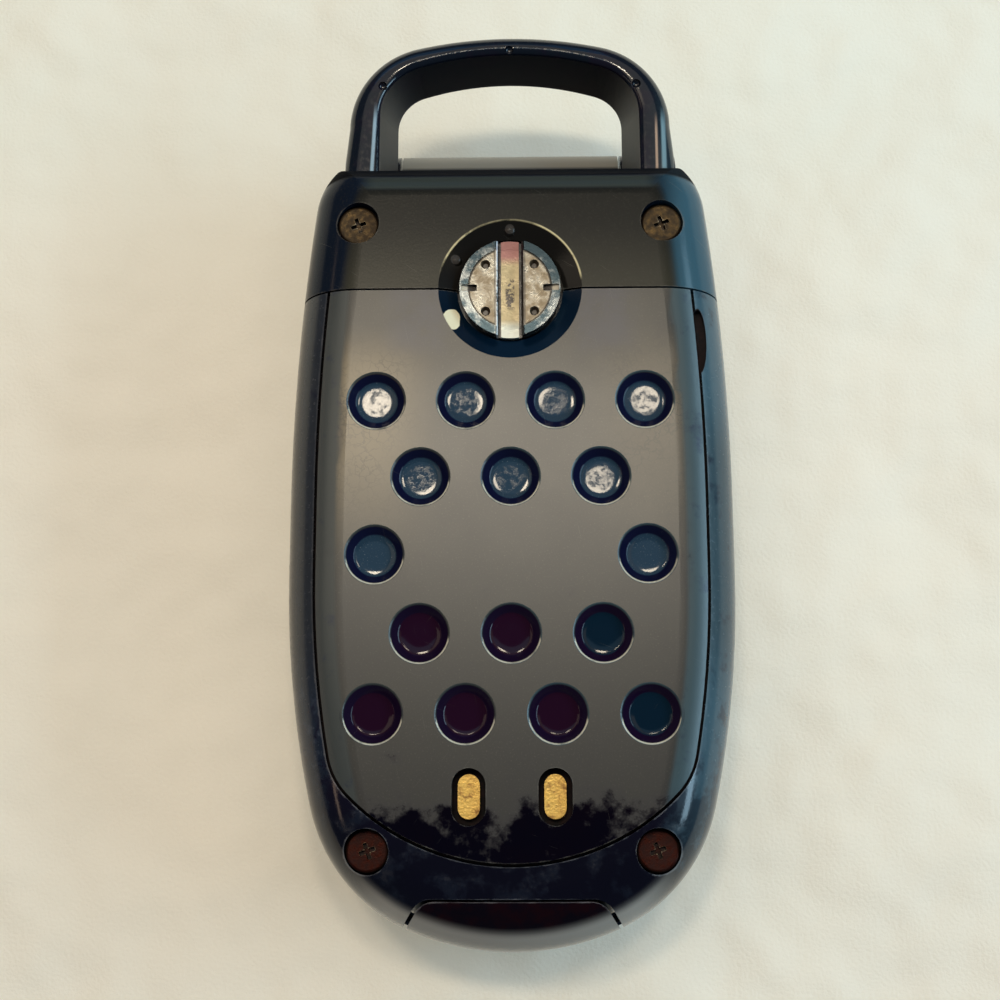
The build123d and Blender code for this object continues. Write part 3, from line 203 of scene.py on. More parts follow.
def speckled(tree, size, seed):
    """A fine grain of a size in millimetres, from 0 to 1."""
    return placed(tree, speckle, Size=size, Seed=seed)


cloth, tree, shader = finish("table_cloth", 0.95, specular=0.2)
threads = speckled(tree, 0.45, seed=4)
creases = speckled(tree, 38, seed=9)
patches = patchy(tree, 60, seed=2)
# painted light: the cloth is painted warm near the phone and cooler further off, as the warm light falls away
painted_cool_far_side = rise(tree, millimetres(tree)[1], 10, 60)
colour = tint(tree, painted_cool_far_side, (0.90, 0.83, 0.72), (0.82, 0.82, 0.735))
colour = tint(tree, times(tree, patches, 0.5), colour, (0.83, 0.765, 0.67))
colour = tint(tree, times(tree, threads, 0.12), colour, (0.66, 0.6, 0.5))
coat(shader, Base_Color=colour)
ray = add(tree, "LightPath").outputs
seen = either(tree, ray["Is Camera Ray"], ray["Is Glossy Ray"], ray["Is Transmission Ray"])
place = add(tree, "TexCoord").outputs["Object"]
far_off = add(tree, "VectorMath", {"operation": "LENGTH"}, Vector=place).outputs["Value"]
glow = tint(tree, rise(tree, far_off, 0.25, 1.4), (0.15, 0.132, 0.085), (0.66, 0.63, 0.55))
coat(shader, Emission_Color=tint(tree, seen, (0, 0, 0), glow))
shader.inputs["Emission Strength"].default_value = 1
folds = maths(tree, "ADD", times(tree, creases, 6.0), times(tree, threads, 0.08))
raise_grain(tree, shader, folds, 1.0)

table_mesh = bmesh.new()
bmesh.ops.create_grid(table_mesh, x_segments=24, y_segments=24, size=3)
floor_mesh = bpy.data.meshes.new("table_cloth")
table_mesh.to_mesh(floor_mesh)
table_mesh.free()
table_cloth = bpy.data.objects.new("table_cloth", floor_mesh)
scene.collection.objects.link(table_cloth)
floor_mesh.materials.append(cloth)

# ---------------------------------------------------------------- light and camera
# Soft panels hang over the table, with two small warm bulbs among them, and a cool
# window stands at the right and another behind the hinge end. The near side is dark.
scene.view_settings.view_transform = "Standard"
room = bpy.data.worlds.new("room")
scene.world = room
room.use_nodes = True
sky = room.node_tree.nodes["Background"]
in_view = add(room.node_tree, "LightPath").outputs["Is Camera Ray"]
air = tint(room.node_tree, in_view, (0.059, 0.087, 0.126), (0.74, 0.73, 0.68))
room.node_tree.links.new(air, sky.inputs["Color"])
sky.inputs["Strength"].default_value = 1


def lamp(name, place, size, power, colour, shape="RECTANGLE", aim=None):
    """A soft lamp at place, turned to aim, or straight down where it has none."""
    data = bpy.data.lights.new(name, "AREA")
    data.shape = shape
    data.size, data.size_y = size
    data.energy = power
    data.color = colour
    lamp_object = bpy.data.objects.new(name, data)
    scene.collection.objects.link(lamp_object)
    lamp_object.location = place
    direction = Vector(aim or (place[0], place[1], 0)) - Vector(place)
    lamp_object.rotation_euler = direction.to_track_quat("-Z", "Y").to_euler()


lamp_height = 0.62
bulb_height = 0.60
cool = (0.50, 0.80, 1.0)
warm = (1.0, 0.86, 0.66)
lamp("middle_panel", (0, 0.118, lamp_height), (0.23, 0.145), 0.11, (0.5, 0.78, 1.0))
lamp("left_panel", (-0.36, 0.15, lamp_height), (0.46, 0.3), 0.72, warm)
lamp("right_panel", (0.27, 0.15, lamp_height), (0.3, 0.3), 0.30, warm)
lamp("far_panel", (0, 0.5, lamp_height), (0.8, 0.6), 0.8, (1.0, 0.95, 0.86))
lamp("left_bulb", (-0.0745, 0.155, bulb_height), (0.064, 0.064), 0.70, warm, "DISK")
lamp("right_bulb", (0.055, 0.136, bulb_height), (0.062, 0.062), 0.52, warm, "DISK")
lamp("right_window", (0.5, 0.05, 0.35), (0.45, 0.35), 0.4, cool, aim=(0, 0, 0))
lamp("right_strip", (0.50, 0.02, 0.30), (0.50, 0.12), 1.5, (0.52, 0.80, 1.0), aim=(0, 0, 0))
lamp("left_strip", (-0.50, 0.02, 0.30), (0.50, 0.04), 0.16, (1.0, 0.72, 0.52), aim=(0, 0, 0))
lamp("far_window", (-0.10, 0.62, 0.38), (0.5, 0.25), 0.2, (0.16, 0.50, 1.0), aim=(0, 0, 0))

look = Vector((-0.0157, 0.1771, -0.9841)).normalized()
up = Vector((0.0056, 0.9842, 0.177)).normalized()
right = look.cross(up).normalized()
up = right.cross(look)
lens = bpy.data.cameras.new("camera")
lens.lens = 51.84
lens.sensor_width = 36
lens.clip_start = 0.01
camera = bpy.data.objects.new("camera", lens)
scene.collection.objects.link(camera)
turn = Matrix((right, up, -look)).transposed().to_4x4()
camera.matrix_world = Matrix.Translation((0.00132, -0.03274, 0.1835)) @ turn
scene.camera = camera

# ---------------------------------------------------------------- front case
# The base of the phone is built up on this moulded ABS tray, which holds the keypad
# and carries the two hinge knuckles. It is sprayed blue-black before assembly.


def dress(material, *names, edge=0.12):
    """Gives CAD nodes a finish and rounds their moulded edges by edge millimetres."""
    for name in names:
        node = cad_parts[name]
        for index in range(len(node.material_slots)):
            node.material_slots[index].material = material
        rounding = node.modifiers.new("moulded_edge", "BEVEL")
        rounding.width = edge / 1000
        rounding.segments = 2
        rounding.limit_method = "ANGLE"
        rounding.angle_limit = math.radians(35)
        rounding.harden_normals = True


def level(tree, mask, under, over):
    """Number over where the mask is 1, and number under where it is 0."""
    node = tree.nodes.new("ShaderNodeMix")
    feed(tree, node.inputs[0], mask)
    feed(tree, node.inputs[2], under)
    feed(tree, node.inputs[3], over)
    return node.outputs[0]


def fine_grain(tree, shader, size, depth, seed):
    """Gives the surface a fine grain of a size and a depth in millimetres."""
    raise_grain(tree, shader, speckled(tree, size, seed), depth)


def inverse(tree, mask):
    """1 where the mask is 0, and 0 where it is 1."""
    return maths(tree, "SUBTRACT", 1, mask)


# edge_wear: 1 along the outward edges, where the paint has rubbed through in places
edge_wear, knob, result = effect("edge_wear", {"Width": 0.3, "Amount": 0.5, "Seed": 0}, "Mask")
inside = add(edge_wear, "AmbientOcclusion", {"inside": True, "only_local": True, "samples": 6})
feed(edge_wear, inside.inputs["Distance"], maths(edge_wear, "DIVIDE", knob["Width"], 1000))
thin = inverse(edge_wear, inside.outputs["AO"])
broken = noise(edge_wear, scaled_place(edge_wear, 1.1, knob["Seed"]), detail=5)
rubbed = maths(edge_wear, "ADD", times(edge_wear, thin, 1.2), broken.outputs[0])
limit = maths(edge_wear, "SUBTRACT", 1.45, times(edge_wear, knob["Amount"], 0.7))
edge_wear.links.new(rise(edge_wear, maths(edge_wear, "SUBTRACT", rubbed, limit), -0.05, 0.08), result)


def rub(tree, colour, bare, share, width, amount, seed):
    """Lets a bare colour show, by a share of 0 to 1, along edges worn over width millimetres."""
    worn = placed(tree, edge_wear, Width=width, Amount=amount, Seed=seed)
    return tint(tree, times(tree, worn, share), colour, bare)


case_paint, tree, shader = finish("case_paint", 0.2)
stains = patchy(tree, 3.2, 0.42, soft=0.08, seed=5)
colour = tint(tree, stains, (0.008, 0.011, 0.022), (0.014, 0.009, 0.026))
colour = rub(tree, colour, (0.16, 0.15, 0.15), 0.5, width=0.3, amount=0.35, seed=3)
coat(shader, Base_Color=colour)
dull = speckled(tree, 0.6, seed=6)
coat(shader, Roughness=level(tree, rise(tree, dull, 0.45, 0.7), 0.16, 0.3))
fine_grain(tree, shader, 0.25, 0.004, seed=2)
dress(case_paint, "front_case")

# ---------------------------------------------------------------- rear case
# The long frame round the battery is one ABS moulding with the battery bay in it.
# It screws down on the front case, and its blue-black paint is rubbed on the rolls.
# The pale line along the bottom roll and the teal at the right are painted reflections.


def faces(tree, axis="Z"):
    """How far the surface faces along an axis: 1 along it, 0 across it, -1 against it."""
    normal = add(tree, "TexCoord").outputs["Normal"]
    return add(tree, "SeparateXYZ", Vector=normal).outputs[axis]


def apart(tree, value, centre):
    """How far a value is from a number, on either side."""
    return maths(tree, "ABSOLUTE", maths(tree, "SUBTRACT", value, centre))


def band(tree, value, low, start, end, high):
    """1 from start to end, and 0 below low and above high, with a soft step at each side."""
    return times(tree, rise(tree, value, low, start), rise(tree, value, high, end))


def oval(tree, x, y, middle, half=(1, 1)):
    """The square of the distance from a middle, counted in half widths: 1 on the oval's edge."""
    across = maths(tree, "DIVIDE", maths(tree, "SUBTRACT", x, middle[0]), half[0])
    along = maths(tree, "DIVIDE", maths(tree, "SUBTRACT", y, middle[1]), half[1])
    return maths(tree, "ADD", maths(tree, "POWER", across, 2), maths(tree, "POWER", along, 2))


frame_paint, tree, shader = finish("frame_paint", 0.2, specular=0.4)
x, y, z = millimetres(tree)
side = maths(tree, "ABSOLUTE", x)
facing = faces(tree)
low_end = rise(tree, y, -26, -44)
amount = level(tree, low_end, 0.28, 0.63)
stains = patchy(tree, 3.0, amount, soft=0.08, seed=7)
fine = patchy(tree, 1.1, 0.35, soft=0.08, seed=12)
# small flecks are blue, and dark or grey at the bottom end
low_fleck = tint(tree, rise(tree, side, 11, 17), (0.004, 0.004, 0.01), (0.036, 0.034, 0.038))
fleck = tint(tree, low_end, (0.03, 0.042, 0.07), low_fleck)
colour = tint(tree, fine, tint(tree, low_end, (0.012, 0.020, 0.038), (0.006, 0.007, 0.014)), fleck)
colour = tint(tree, stains, colour, tint(tree, low_end, (0.010, 0.006, 0.020), (0.002, 0.001, 0.005)))
colour = rub(tree, colour, (0.22, 0.22, 0.23), 0.6, width=0.35, amount=0.5, seed=8)
# the right side is painted teal as a reflection of the cool light beside it, and the left side is greyer
# above the bottom end
painted_teal_reflection = tint(tree, rise(tree, apart(tree, y, -9), 9, 19), (0.046, 0.08, 0.096), (0.062, 0.12, 0.15))
colour = tint(tree, times(tree, rise(tree, x, 15, 23), level(tree, stains, 0.9, 0.4)), colour, painted_teal_reflection)
greyer_left = times(tree, rise(tree, x, -15, -23), rise(tree, y, -34, -16))
colour = tint(tree, times(tree, greyer_left, level(tree, stains, 0.8, 0.4)), colour, (0.03, 0.031, 0.034))
# the roll at the bottom end is painted with a pale line, a painted reflection of the pale cloth
rim = band(tree, facing, 0, 0.15, 0.66, 0.84)
rim = times(tree, rim, rise(tree, y, -40, -47), rise(tree, side, 19, 13))
colour = tint(tree, times(tree, rim, 0.95), colour, (0.32, 0.305, 0.275))
# painted shade: the ledges below the top and the notch at the right are painted near black, mottled reddish,
# and are dull
notch = oval(tree, x, y, (21.6, 14.35), half=(0.92, 3.75))
sunk = times(tree, rise(tree, facing, 0.97, 0.99), rise(tree, z, 24.2, 24.0))
shade = either(tree, sunk, rise(tree, notch, 1.12, 1.04))
shade_mottle = patchy(tree, 0.8, 0.5, soft=0.2, seed=3)
colour = tint(tree, shade, colour, tint(tree, shade_mottle, (0.002, 0.002, 0.003), (0.016, 0.006, 0.006)))
coat(shader, Base_Color=colour)
dull = speckled(tree, 0.5, seed=3)
rough = level(tree, rise(tree, dull, 0.4, 0.7), 0.16, 0.28)
rough = level(tree, stains, rough, 0.11)
coat(shader, Roughness=level(tree, shade, rough, 0.9))
fine_grain(tree, shader, 0.3, 0.005, seed=2)
dress(frame_paint, "rear_case")

# ---------------------------------------------------------------- upper rear case
# The end piece over the hinge is a separate moulding with half of the lock's dish.
# Its flat top is satin grey-brown, and its rolled edges are glossy blue-black.
lock_y = 20.5
dish_radius = 8.25

# from_lock: how far a point is from the middle of the coin lock, in millimetres
from_lock, knob, result = effect("from_lock", {}, "Distance")
x, y, z = millimetres(from_lock)
from_lock.links.new(maths(from_lock, "SQRT", oval(from_lock, x, y, (0, lock_y))), result)

# lock_bearing: the direction of a point from the middle of the coin lock, in degrees from +X
lock_bearing, knob, result = effect("lock_bearing", {}, "Degrees")
x, y, z = millimetres(lock_bearing)
turn = maths(lock_bearing, "ARCTAN2", maths(lock_bearing, "SUBTRACT", y, lock_y), x)
lock_bearing.links.new(times(lock_bearing, turn, math.degrees(1)), result)

# scratches: fine straight lines of a length and width in millimetres, at an angle in radians
scratches, knob, result = effect(
    "scratches", {"Length": 5, "Width": 0.09, "Angle": 0, "Amount": 0.5, "Seed": 0}, "Mask"
)
place = add(scratches, "TexCoord").outputs["Object"]
turned = add(scratches, "VectorRotate", {"rotation_type": "Z_AXIS"}, Vector=place, Angle=knob["Angle"])
across = maths(scratches, "DIVIDE", 1000, knob["Width"])
drawn = add(scratches, "CombineXYZ", X=maths(scratches, "DIVIDE", 1000, knob["Length"]), Y=across, Z=120.0)
line = add(scratches, "VectorMath", {"operation": "MULTIPLY"}, Vector=turned.outputs[0])
scratches.links.new(drawn.outputs[0], line.inputs[1])
moved = add(scratches, "VectorMath", {"operation": "ADD"}, Vector=line.outputs[0])
shift = add(scratches, "CombineXYZ", X=knob["Seed"], Y=knob["Seed"], Z=0.0)
scratches.links.new(shift.outputs[0], moved.inputs[1])
streak = noise(scratches, moved.outputs[0], detail=1)
limit = maths(scratches, "SUBTRACT", 0.86, times(scratches, knob["Amount"], 0.2))
strength = maths(scratches, "SUBTRACT", streak.outputs[0], limit)
scratches.links.new(rise(scratches, strength, 0.0, 0.05), result)


def scratch(tree, colour, shade, share, length, width, angle, amount, seed):
    """Draws fine scratches over a colour, by a share of 0 to 1."""
    lines = placed(tree, scratches, Length=length, Width=width, Angle=angle, Amount=amount, Seed=seed)
    return tint(tree, times(tree, lines, share), colour, shade)


upper_paint, tree, shader = finish("upper_paint", 0.3, specular=0.14)
x, y, z = millimetres(tree)
facing = faces(tree)
flat = rise(tree, facing, 0.95, 0.995)
reach = placed(tree, from_lock)
bearing = placed(tree, lock_bearing)
dish = rise(tree, reach, dish_radius + 0.08, dish_radius - 0.02)
top_coat = tint(tree, rise(tree, y, 21, 29), (0.026, 0.024, 0.015), (0.008, 0.008, 0.006))
# painted reflection: the rolled sides are teal at the right, where they reflect the cool light beside them
side_paint_and_teal_sheen = tint(tree, rise(tree, x, 16, 21), (0.006, 0.010, 0.020), (0.045, 0.105, 0.140))
colour = tint(tree, flat, side_paint_and_teal_sheen, top_coat)
grain = speckled(tree, 0.22, seed=3)
colour = tint(tree, times(tree, rise(tree, grain, 0.5, 0.8), 0.22), colour, (0.06, 0.054, 0.038))
colour = tint(tree, dish, colour, (0.009, 0.0075, 0.006))
# two small marks lie in the dish, and its lip is gold along two arcs
for dot_place in ((0, 27.75), (-6.28, 24.12)):
    dot = rise(tree, oval(tree, x, y, dot_place), 0.36, 0.25)
    colour = tint(tree, dot, colour, (0.050, 0.042, 0.036))
lip = band(tree, reach, dish_radius - 0.14, dish_radius, dish_radius + 0.05, dish_radius + 0.2)
right_arc = band(tree, bearing, 6, 14, 62, 78)
right_arc = times(tree, right_arc, patchy(tree, 1.2, 0.85, soft=0.1, seed=3))
top_arc = times(tree, band(tree, bearing, 60, 75, 155, 170), 0.35)
left_arc = either(tree, band(tree, bearing, 118, 124, 150, 160), top_arc)
left_arc = times(tree, left_arc, patchy(tree, 1.4, 0.6, soft=0.15, seed=1))
gold = times(tree, lip, either(tree, right_arc, left_arc))
# the roll over the hinge end is painted grey-green as a highlight, and the end below it is painted a dull
# black as shade
painted_roll_highlight = band(tree, y, 32.5, 33.0, 34.2, 34.6)
painted_roll_highlight = times(tree, painted_roll_highlight, rise(tree, maths(tree, "ABSOLUTE", x), 18, 15.5), 0.8)
colour = tint(tree, painted_roll_highlight, colour, (0.046, 0.054, 0.045))
shaded_hinge_end = rise(tree, y, 34.3, 34.8)
colour = tint(tree, times(tree, shaded_hinge_end, 0.95), colour, (0.001, 0.0015, 0.003))
bare = level(tree, shaded_hinge_end, 0.5, 0)
colour = rub(tree, colour, (0.2, 0.18, 0.15), bare, width=0.35, amount=0.42, seed=4)
colour = tint(tree, gold, colour, (0.70, 0.58, 0.32))
colour = scratch(tree, colour, (0.3, 0.27, 0.22), 0.3, 6, 0.07, angle=0.6, amount=0.55, seed=5)
coat(shader, Base_Color=colour)
rough = level(tree, flat, 0.15, 0.26)
rough = level(tree, shaded_hinge_end, rough, 0.6)
coat(shader, Roughness=level(tree, dish, rough, 0.16))
rolled = times(tree, maths(tree, "MAXIMUM", maths(tree, "SUBTRACT", y, 34.8), 0), 160)
raise_grain(tree, shader, maths(tree, "ADD", grain, rolled), 0.006)
dress(upper_paint, "upper_rear_case")

# ---------------------------------------------------------------- carry loop
# The carry loop is a stout handle moulded in one piece and held between the two
# halves of the base. Its gloss is deep, with a few painted highlights in pale streaks on its legs.
loop_paint, tree, shader = finish("loop_paint", 0.12)
x, y, z = millimetres(tree)
side = maths(tree, "ABSOLUTE", x)
facing = faces(tree)
stains = patchy(tree, 2.6, 0.4, soft=0.08, seed=15)
colour = tint(tree, stains, (0.004, 0.006, 0.011), (0.007, 0.005, 0.012))
# painted reflection: the outer side of the right leg is painted teal
colour = tint(tree, rise(tree, x, 16, 20), colour, (0.016, 0.028, 0.036))
# painted highlights: three pale streaks on the legs stand for lamp reflections
for slope, middle, half, y_low, y_high, highlight_colour in (
    (0, 17.47, 0.22, 35.5, 43.5, (0.60, 0.40, 0.28)),
    (0, 18.35, 0.42, 35.5, 44.5, (0.26, 0.40, 0.45)),
    (0.048, -18.12, 0.30, 35.2, 45.0, (0.42, 0.58, 0.68)),
):
    line = maths(tree, "SUBTRACT", x, maths(tree, "ADD", times(tree, y, slope), middle))
    streak = rise(tree, maths(tree, "ABSOLUTE", line), half, half * 0.3)
    streak = times(tree, streak, band(tree, y, y_low, y_low + 1, y_high - 3, y_high))
    streak = times(tree, streak, rise(tree, facing, 0.5, 0.9), 0.75)
    colour = tint(tree, streak, colour, highlight_colour)
colour = rub(tree, colour, (0.2, 0.2, 0.22), 0.45, width=0.4, amount=0.4, seed=14)
coat(shader, Base_Color=tint(tree, rise(tree, facing, 0.5, 0.2), colour, (0.001, 0.001, 0.002)))
dull = speckled(tree, 0.6, seed=13)
gloss = level(tree, rise(tree, dull, 0.4, 0.7), 0.10, 0.2)
inner_wall = times(tree, rise(tree, facing, 0.5, 0.35), rise(tree, side, 16.4, 15.9))
coat(shader, Roughness=level(tree, inner_wall, gloss, 0.42))
fine_grain(tree, shader, 0.5, 0.005, seed=2)
dress(loop_paint, "carry_loop")

# ---------------------------------------------------------------- case screws
# Four cross-head steel screws clamp the base. Their brass-coloured plating has
# gone brown, and rust sits in the cross and round the head.

# crevice_dirt: 1 in corners and slots, where dust and grease settle
crevice_dirt, knob, result = effect("crevice_dirt", {"Reach": 0.8, "Amount": 0.6}, "Mask")
outside = add(crevice_dirt, "AmbientOcclusion", {"samples": 6})
feed(crevice_dirt, outside.inputs["Distance"], maths(crevice_dirt, "DIVIDE", knob["Reach"], 1000))
shut = inverse(crevice_dirt, outside.outputs["AO"])
shut = times(crevice_dirt, shut, knob["Amount"], 2)
crevice_dirt.links.new(rise(crevice_dirt, shut, 0.15, 1.0), result)

screw_metal, tree, shader = finish("screw_metal", 0.42, metallic=1, specular=0.25)
rust = patchy(tree, 0.7, 0.55, soft=0.22, seed=3)
dirt = placed(tree, crevice_dirt, Reach=0.6, Amount=0.7)
low = rise(tree, millimetres(tree)[1], -10, -20)
plating = tint(tree, low, (0.066, 0.042, 0.017), (0.042, 0.006, 0.002))
colour = tint(tree, rust, plating, tint(tree, low, (0.034, 0.021, 0.010), (0.024, 0.004, 0.002)))
colour = rub(tree, colour, (0.5, 0.42, 0.28), 0.5, width=0.22, amount=0.35, seed=5)
coat(shader, Base_Color=tint(tree, dirt, colour, (0.012, 0.006, 0.004)))
bright = inverse(tree, either(tree, times(tree, rust, 0.5), dirt))
coat(shader, Metallic=times(tree, bright, 0.8), Roughness=level(tree, rust, 0.34, 0.6))
fine_grain(tree, shader, 0.18, 0.03, seed=8)
dress(screw_metal, "case_screws", edge=0.08)

# ---------------------------------------------------------------- main board
# The main circuit board is glass-filled laminate under green solder mask. Copper
# tracks show as lighter lines, and gold pads wait under the key domes.

# tracks: 1 along the straight copper tracks of a board
tracks, knob, result = effect("tracks", {"Size": 1.6, "Seed": 0}, "Mask")
place = scaled_place(tracks, knob["Size"], knob["Seed"])
cells = add(tracks, "TexVoronoi", {"feature": "F1", "distance": "CHEBYCHEV"}, Vector=place)
cells.inputs["Scale"].default_value = 1
rings = maths(tracks, "FRACT", times(tracks, cells.outputs["Distance"], 5))
tracks.links.new(rise(tracks, rings, 0.55, 0.65), result)

solder_mask, tree, shader = finish("solder_mask", 0.3)
copper = placed(tree, tracks, Size=3.2, Seed=2)
cloud = patchy(tree, 9, seed=3)
colour = tint(tree, cloud, (0.010, 0.075, 0.030), (0.012, 0.055, 0.028))
colour = tint(tree, copper, colour, (0.025, 0.15, 0.05))
pads = patchy(tree, 0.9, 0.12, soft=0.03, seed=8)
colour = tint(tree, pads, colour, (0.80, 0.58, 0.25))
coat(shader, Base_Color=colour, Metallic=pads, Roughness=level(tree, copper, 0.34, 0.26))
raise_grain(tree, shader, copper, 0.02)
dress(solder_mask, "main_board", "lid_board", edge=0.05)

# ---------------------------------------------------------------- key dome sheet
# A clear polyester sheet holds the snap domes over the board's pads. It is slightly
# milky, and the tin domes show through it.
dome_film, tree, shader = finish("dome_film", 0.28)
cloud = patchy(tree, 3, 0.5, soft=0.25, seed=9)
coat(
    shader,
    Base_Color=tint(tree, cloud, (0.46, 0.47, 0.44), (0.58, 0.58, 0.54)),
    Roughness=level(tree, cloud, 0.24, 0.36),
    Metallic=times(tree, cloud, 0.3),
)
fine_grain(tree, shader, 0.8, 0.02, seed=3)
dress(dome_film, "dome_sheet", edge=0.05)

# ---------------------------------------------------------------- metal modules
# The shield cans are folded from tinned steel and soldered over the radio chips.
# The motor, microphone, sounders and charging socket are bare pressed metal too.
tinplate, tree, shader = finish("tinplate", 0.35, metallic=1)
place = add(tree, "VectorMath", {"operation": "MULTIPLY"}, Vector=add(tree, "TexCoord").outputs["Object"])
place.inputs[1].default_value = (400, 12000, 4000)
rolled = noise(tree, place.outputs[0])
tarnish = patchy(tree, 4, 0.4, soft=0.2, seed=12)
colour = tint(tree, rolled.outputs[0], (0.50, 0.50, 0.49), (0.66, 0.66, 0.64))
coat(
    shader,
    Base_Color=tint(tree, times(tree, tarnish, 0.5), colour, (0.36, 0.34, 0.28)),
    Roughness=level(tree, rolled.outputs[0], 0.28, 0.48),
)
raise_grain(tree, shader, rolled.outputs[0], 0.01)
dress(
    tinplate,
    "shield_cans",
    "vibration_motor",
    "microphone",
    "charge_connector",
    "earpiece",
    "loudspeaker",
)

# ---------------------------------------------------------------- antenna
# The antenna is a gold-plated pattern on an ivory plastic carrier beside the hinge.
# It snaps into the front case and presses on the board.
antenna_carrier, tree, shader = finish("antenna_carrier", 0.5)
plated = placed(tree, tracks, Size=4.5, Seed=6)
colour = tint(tree, speckled(tree, 0.4, seed=7), (0.52, 0.48, 0.38), (0.60, 0.56, 0.45))
coat(
    shader,
    Base_Color=tint(tree, plated, colour, (0.85, 0.6, 0.28)),
    Metallic=plated,
    Roughness=level(tree, plated, 0.5, 0.3),
)
raise_grain(tree, shader, plated, 0.02)
dress(antenna_carrier, "antenna_module", edge=0.1)

# ---------------------------------------------------------------- charging contacts
# Two gilt pads sit at the bottom of the battery and show through the windows in
# the cover. Desk chargers have scraped them down to brown in places.
gilt, tree, shader = finish("gilt", 0.4, metallic=0.5)
worn = patchy(tree, 0.9, 0.34, soft=0.1, seed=2)
dirt = placed(tree, crevice_dirt, Reach=1.2, Amount=0.55)
colour = tint(tree, speckled(tree, 0.25, seed=4), (0.66, 0.36, 0.055), (0.90, 0.60, 0.17))
colour = tint(tree, worn, colour, (0.34, 0.17, 0.04))
coat(
    shader,
    Base_Color=tint(tree, dirt, colour, (0.1, 0.05, 0.015)),
    Roughness=level(tree, worn, 0.36, 0.55),
)
fine_grain(tree, shader, 0.3, 0.03, seed=5)
dress(gilt, "charge_contacts", "battery_terminals", edge=0.12)

# ---------------------------------------------------------------- battery
# The battery is a lithium cell in a shrunk black sleeve with a plain pale label
# panel on the side under the cover. Nothing is printed on it.
battery_sleeve, tree, shader = finish("battery_sleeve", 0.42)
x, y, z = millimetres(tree)
low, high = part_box("battery_pack")
from_middle = apart(tree, y, (low.y + high.y) * 500)
half_label = (high.y - low.y) * 500 - 4
label = times(tree, rise(tree, maths(tree, "ABSOLUTE", x), 13.6, 13.5), rise(tree, faces(tree), 0.9, 0.95))
label = times(tree, label, rise(tree, from_middle, half_label + 0.1, half_label))
colour = tint(tree, patchy(tree, 5, seed=2), (0.016, 0.016, 0.018), (0.024, 0.023, 0.024))
paper = tint(tree, patchy(tree, 8, seed=5), (0.56, 0.55, 0.52), (0.48, 0.47, 0.43))
colour = tint(tree, label, colour, paper)
colour = scratch(tree, colour, (0.2, 0.2, 0.2), 0.3, 7, 0.1, angle=0.4, amount=0.6, seed=4)
coat(shader, Base_Color=colour, Roughness=level(tree, label, 0.34, 0.55))
fine_grain(tree, shader, 0.35, 0.01, seed=9)
dress(battery_sleeve, "battery_pack", edge=0.2)

# ---------------------------------------------------------------- battery cover
# The cover over the battery is a 1.8 mm moulding with sixteen pressed dimples and
# two windows. Its satin top coat is scuffed, and polished dark where hands hold it.
column_pitch = 10.15
row_pitch = 8.8
bowl_radius = 2.12

# leather_grain: 1 in a net of fine dark cracks of a size in millimetres
leather_grain, knob, result = effect("leather_grain", {"Size": 1.0, "Seed": 0}, "Mask")
place = scaled_place(leather_grain, knob["Size"], knob["Seed"])
wobble = noise(leather_grain, place, scale=1.7)
bent = add(leather_grain, "VectorMath", {"operation": "ADD"}, Vector=place)
leather_grain.links.new(wobble.outputs[1], bent.inputs[1])
cells = add(leather_grain, "TexVoronoi", {"feature": "DISTANCE_TO_EDGE"}, Vector=bent.outputs[0])
cells.inputs["Scale"].default_value = 1
leather_grain.links.new(rise(leather_grain, cells.outputs["Distance"], 0.09, 0.01), result)

cover_paint, tree, shader = finish("cover_paint", 0.3, specular=0.16)
x, y, z = millimetres(tree)
side = maths(tree, "ABSOLUTE", x)
facing = faces(tree)
flat = rise(tree, facing, 0.985, 0.9985)
sunk = maths(tree, "SUBTRACT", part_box("battery_cover")[1].z * 1000, z)
# how far a point is from the nearest dimple's middle, in staggered rows
reaches = []
for column_x, row_y in ((column_pitch / 2, 7.3), (0, -1.5)):
    east = maths(tree, "PINGPONG", maths(tree, "SUBTRACT", x, column_x), column_pitch / 2)
    north = maths(tree, "PINGPONG", maths(tree, "SUBTRACT", y, row_y), row_pitch)
    reaches.append(maths(tree, "SQRT", oval(tree, east, north, (0, 0))))
from_dimple = maths(tree, "MINIMUM", *reaches)
in_rows = band(tree, y, -32.0, -31.8, 12, 12.5)
in_grid = times(tree, in_rows, rise(tree, side, 19, 18.9), rise(tree, from_dimple, 3.62, 3.56))
dimple = times(tree, rise(tree, sunk, 0.05, 0.25), in_grid)
floor = times(tree, rise(tree, sunk, 0.86, 0.97), in_grid)
dish = rise(tree, placed(tree, from_lock), dish_radius + 0.05, dish_radius - 0.05)

# the satin coat is cracked at the sides, where a warm sheen is painted in brown,
# and the rolled shoulders are bluer, and painted teal at the right as a reflection
grain = speckled(tree, 0.2, seed=3)
cloud = patchy(tree, 7, seed=31)
satin = tint(tree, cloud, (0.026, 0.023, 0.017), (0.019, 0.017, 0.014))
satin = tint(tree, times(tree, rise(tree, grain, 0.56, 0.78), 0.35), satin, (0.12, 0.105, 0.078))
scuffed = times(tree, rise(tree, side, 7, 16), band(tree, y, -14, 6, 10, 17))
cracks = placed(tree, leather_grain, Size=1.1, Seed=2)
cracks = times(tree, cracks, scuffed, patchy(tree, 5, 0.55, soft=0.2, seed=8))
# painted sheen: the sides are browned more at the left than at the right, as the warm bulbs' sheen
rubbed = times(tree, scuffed, level(tree, rise(tree, x, -4, 4), 1, 0.3))
satin = tint(tree, rubbed, satin, (0.175, 0.125, 0.062))
satin = tint(tree, times(tree, cracks, 0.6), satin, (0.012, 0.009, 0.006))
